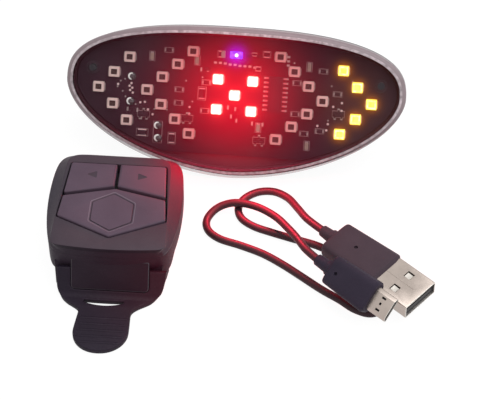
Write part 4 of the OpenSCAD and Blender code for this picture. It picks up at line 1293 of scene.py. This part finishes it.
face = rounded(rect(-6.0, 6.0, -2.25, 2.25), 0.55)
shell = tube(face, -12.2, 0.0, 0.3, 0.16).make("usb_a_can", PLUG, [NICKEL, SHELL_INSIDE_SHADE, SPRING_METAL_AND_HIGHLIGHT])
cuts = []
for s in (-1, 1):
    hole = rounded(box(-6.5, s * WINDOW_Y, 1.1, 1.1), 0.12, 2)
    cuts += [cutter(hole, 1.6, 3.0, PLUG), cutter(hole, -3.0, -1.6, PLUG)]
cuts.append(cutter(rect(-13.0, -2.6, -0.05, 0.05), 2.2, 2.6, PLUG))
carved(shell, cuts)
stand_for(shell, SET, "nickel", "usb_a_shell")


def spring_tabs():
    """The springs in the shell's windows."""
    shape = Shape()
    for s in (-1, 1):
        y0, y1 = s * WINDOW_Y - 0.82, s * WINDOW_Y + 0.82
        for up in (-1, 1):
            rings = []
            for x, z in ((-7.45, 1.94), (-7.2, 1.92), (-6.2, 1.80), (-5.75, 1.86), (-5.6, 1.95)):
                low, high = up * (z - 0.12), up * z
                rings.append([(x, y0, low), (x, y1, low), (x, y1, high), (x, y0, high)])
            shape.loft(rings)
    return shape


tabs = spring_tabs().make("usb_a_springs", PLUG, [SPRING_METAL_AND_HIGHLIGHT])
stand_for(tabs, SET, "nickel")

face = rounded([(-3.42, -0.9), (3.42, -0.9), (3.42, 0.1), (2.5, 0.9), (-2.5, 0.9), (-3.42, 0.1)], 0.22, 4)
shell = tube(face, -0.6, 6.0, 0.25, 0.08).make("micro_can", MICRO, [NICKEL, SHELL_INSIDE_SHADE, SPRING_METAL_AND_HIGHLIGHT])
holes = (rect(2.3, 3.6, -2.03, -1.47), rect(2.3, 3.6, 1.47, 2.03), rect(2.5, 3.1, -0.35, 0.35))
cuts = [cutter(rounded(hole, 0.1, 2), 0.3, 1.5, MICRO) for hole in holes]
cuts.append(cutter(rect(0.9, 1.0, -2.6, 2.6), 0.85, 1.2, MICRO))
carved(shell, cuts)
stand_for(shell, SET, "nickel", "micro_shell")

on_lead = [bpy.data.objects[n] for n in ("usb_a_grip", "usb_a_sleeve", "usb_a_can", "usb_a_springs",
                                         "micro_grip", "micro_sleeve", "micro_can")]
on_lead += [NODES[n] for n in ("usb_a_tongue", "usb_a_contacts", "micro_tongue")]


# Floor, light and background

FLOOR_HALF = 6.0
FLOOR_WHITE = 0.78
RED_LIGHT = (1.0, 0.03, 0.07)


def seen_rays(nt):
    """1 for what the camera sees, straight, through a clear piece or in a reflection."""
    kinds = nt.nodes.new("ShaderNodeLightPath").outputs
    seen = math_node(nt, "MAXIMUM", kinds["Is Camera Ray"], kinds["Is Transmission Ray"])
    return math_node(nt, "MAXIMUM", seen, kinds["Is Glossy Ray"])


def floor_look():
    """A grey floor that lights the set a little, and looks nearly white."""
    mat, nt, bsdf, where = node_tree("floor")
    grey = blend_colour(nt, noise(nt, where, 8.0), (0.50, 0.50, 0.50), (0.52, 0.52, 0.52))
    feed(nt, bsdf.inputs, {"Base Color": grey, "Roughness": 0.9, "Specular IOR Level": 0.1})
    white = nt.nodes.new("ShaderNodeEmission")
    white.inputs["Strength"].default_value = 1.2
    mix = nt.nodes.new("ShaderNodeMixShader")
    seen = math_node(nt, "MULTIPLY", seen_rays(nt), FLOOR_WHITE)
    feed(nt, mix.inputs, {0: seen, 1: bsdf.outputs[0], 2: white.outputs[0]})
    out = next(n for n in nt.nodes if n.type == "OUTPUT_MATERIAL")
    nt.links.new(mix.outputs[0], out.inputs[0])
    return mat


mesh = bpy.data.meshes.new("floor")
mesh.from_pydata(level(box(0.0, 0.0, FLOOR_HALF, FLOOR_HALF), 0.0), [], [(0, 1, 2, 3)])
mesh.materials.append(floor_look())
floor = show("floor", mesh)

world = bpy.data.worlds.new("world")
world.use_nodes = True
scene.world = world
nt = world.node_tree
bright = math_node(nt, "ADD", math_node(nt, "MULTIPLY", seen_rays(nt), 0.5), 0.5)
feed(nt, nt.nodes["Background"].inputs, {"Color": (1.0, 0.99, 0.98, 1.0), "Strength": bright})


def light(name, kind, place, watts):
    data = bpy.data.lights.new(name, kind)
    data.energy = watts
    lamp = show(name, data)
    lamp.location = place
    return lamp


def area(name, place, size, watts):
    """A round light that faces the set."""
    lamp = light(name, "AREA", place, watts)
    lamp.data.shape = "DISK"
    lamp.data.size = size
    lamp.rotation_euler = (-Vector(place)).to_track_quat("-Z", "Y").to_euler()


def red_light(name, place, radius, watts, pieces, shine=0.0):
    """Red of the brake light, on some pieces only."""
    lamp = light(name, "POINT", place, watts)
    lamp.data.color = RED_LIGHT
    lamp.data.shadow_soft_size = radius
    lamp.data.specular_factor = shine
    reach = bpy.data.collections.new(name + "_on")
    for piece in pieces:
        reach.objects.link(bpy.data.objects[piece])
    lamp.light_linking.receiver_collection = reach


area("softbox", (0.26, -0.10, 0.90), 1.1, 5.4)
area("fill", (0.5, 0.1, 0.6), 0.5, 0.6)
red_light("brake_light", (0.002, 0.003, 0.024), 0.004, 0.034,
          ("remote_cover", "remote_body", "left_button_cap", "right_button_cap", "mode_button_cap", "strap"))
red_light("brake_light_near", (0.006, 0.010, 0.026), 0.008, 0.30, ("lead", "floor"), 0.4)
red_light("brake_light_far", (0.008, 0.014, 0.026), 0.008, 0.03,
          ("usb_a_grip", "micro_grip", "usb_a_sleeve", "micro_sleeve"))
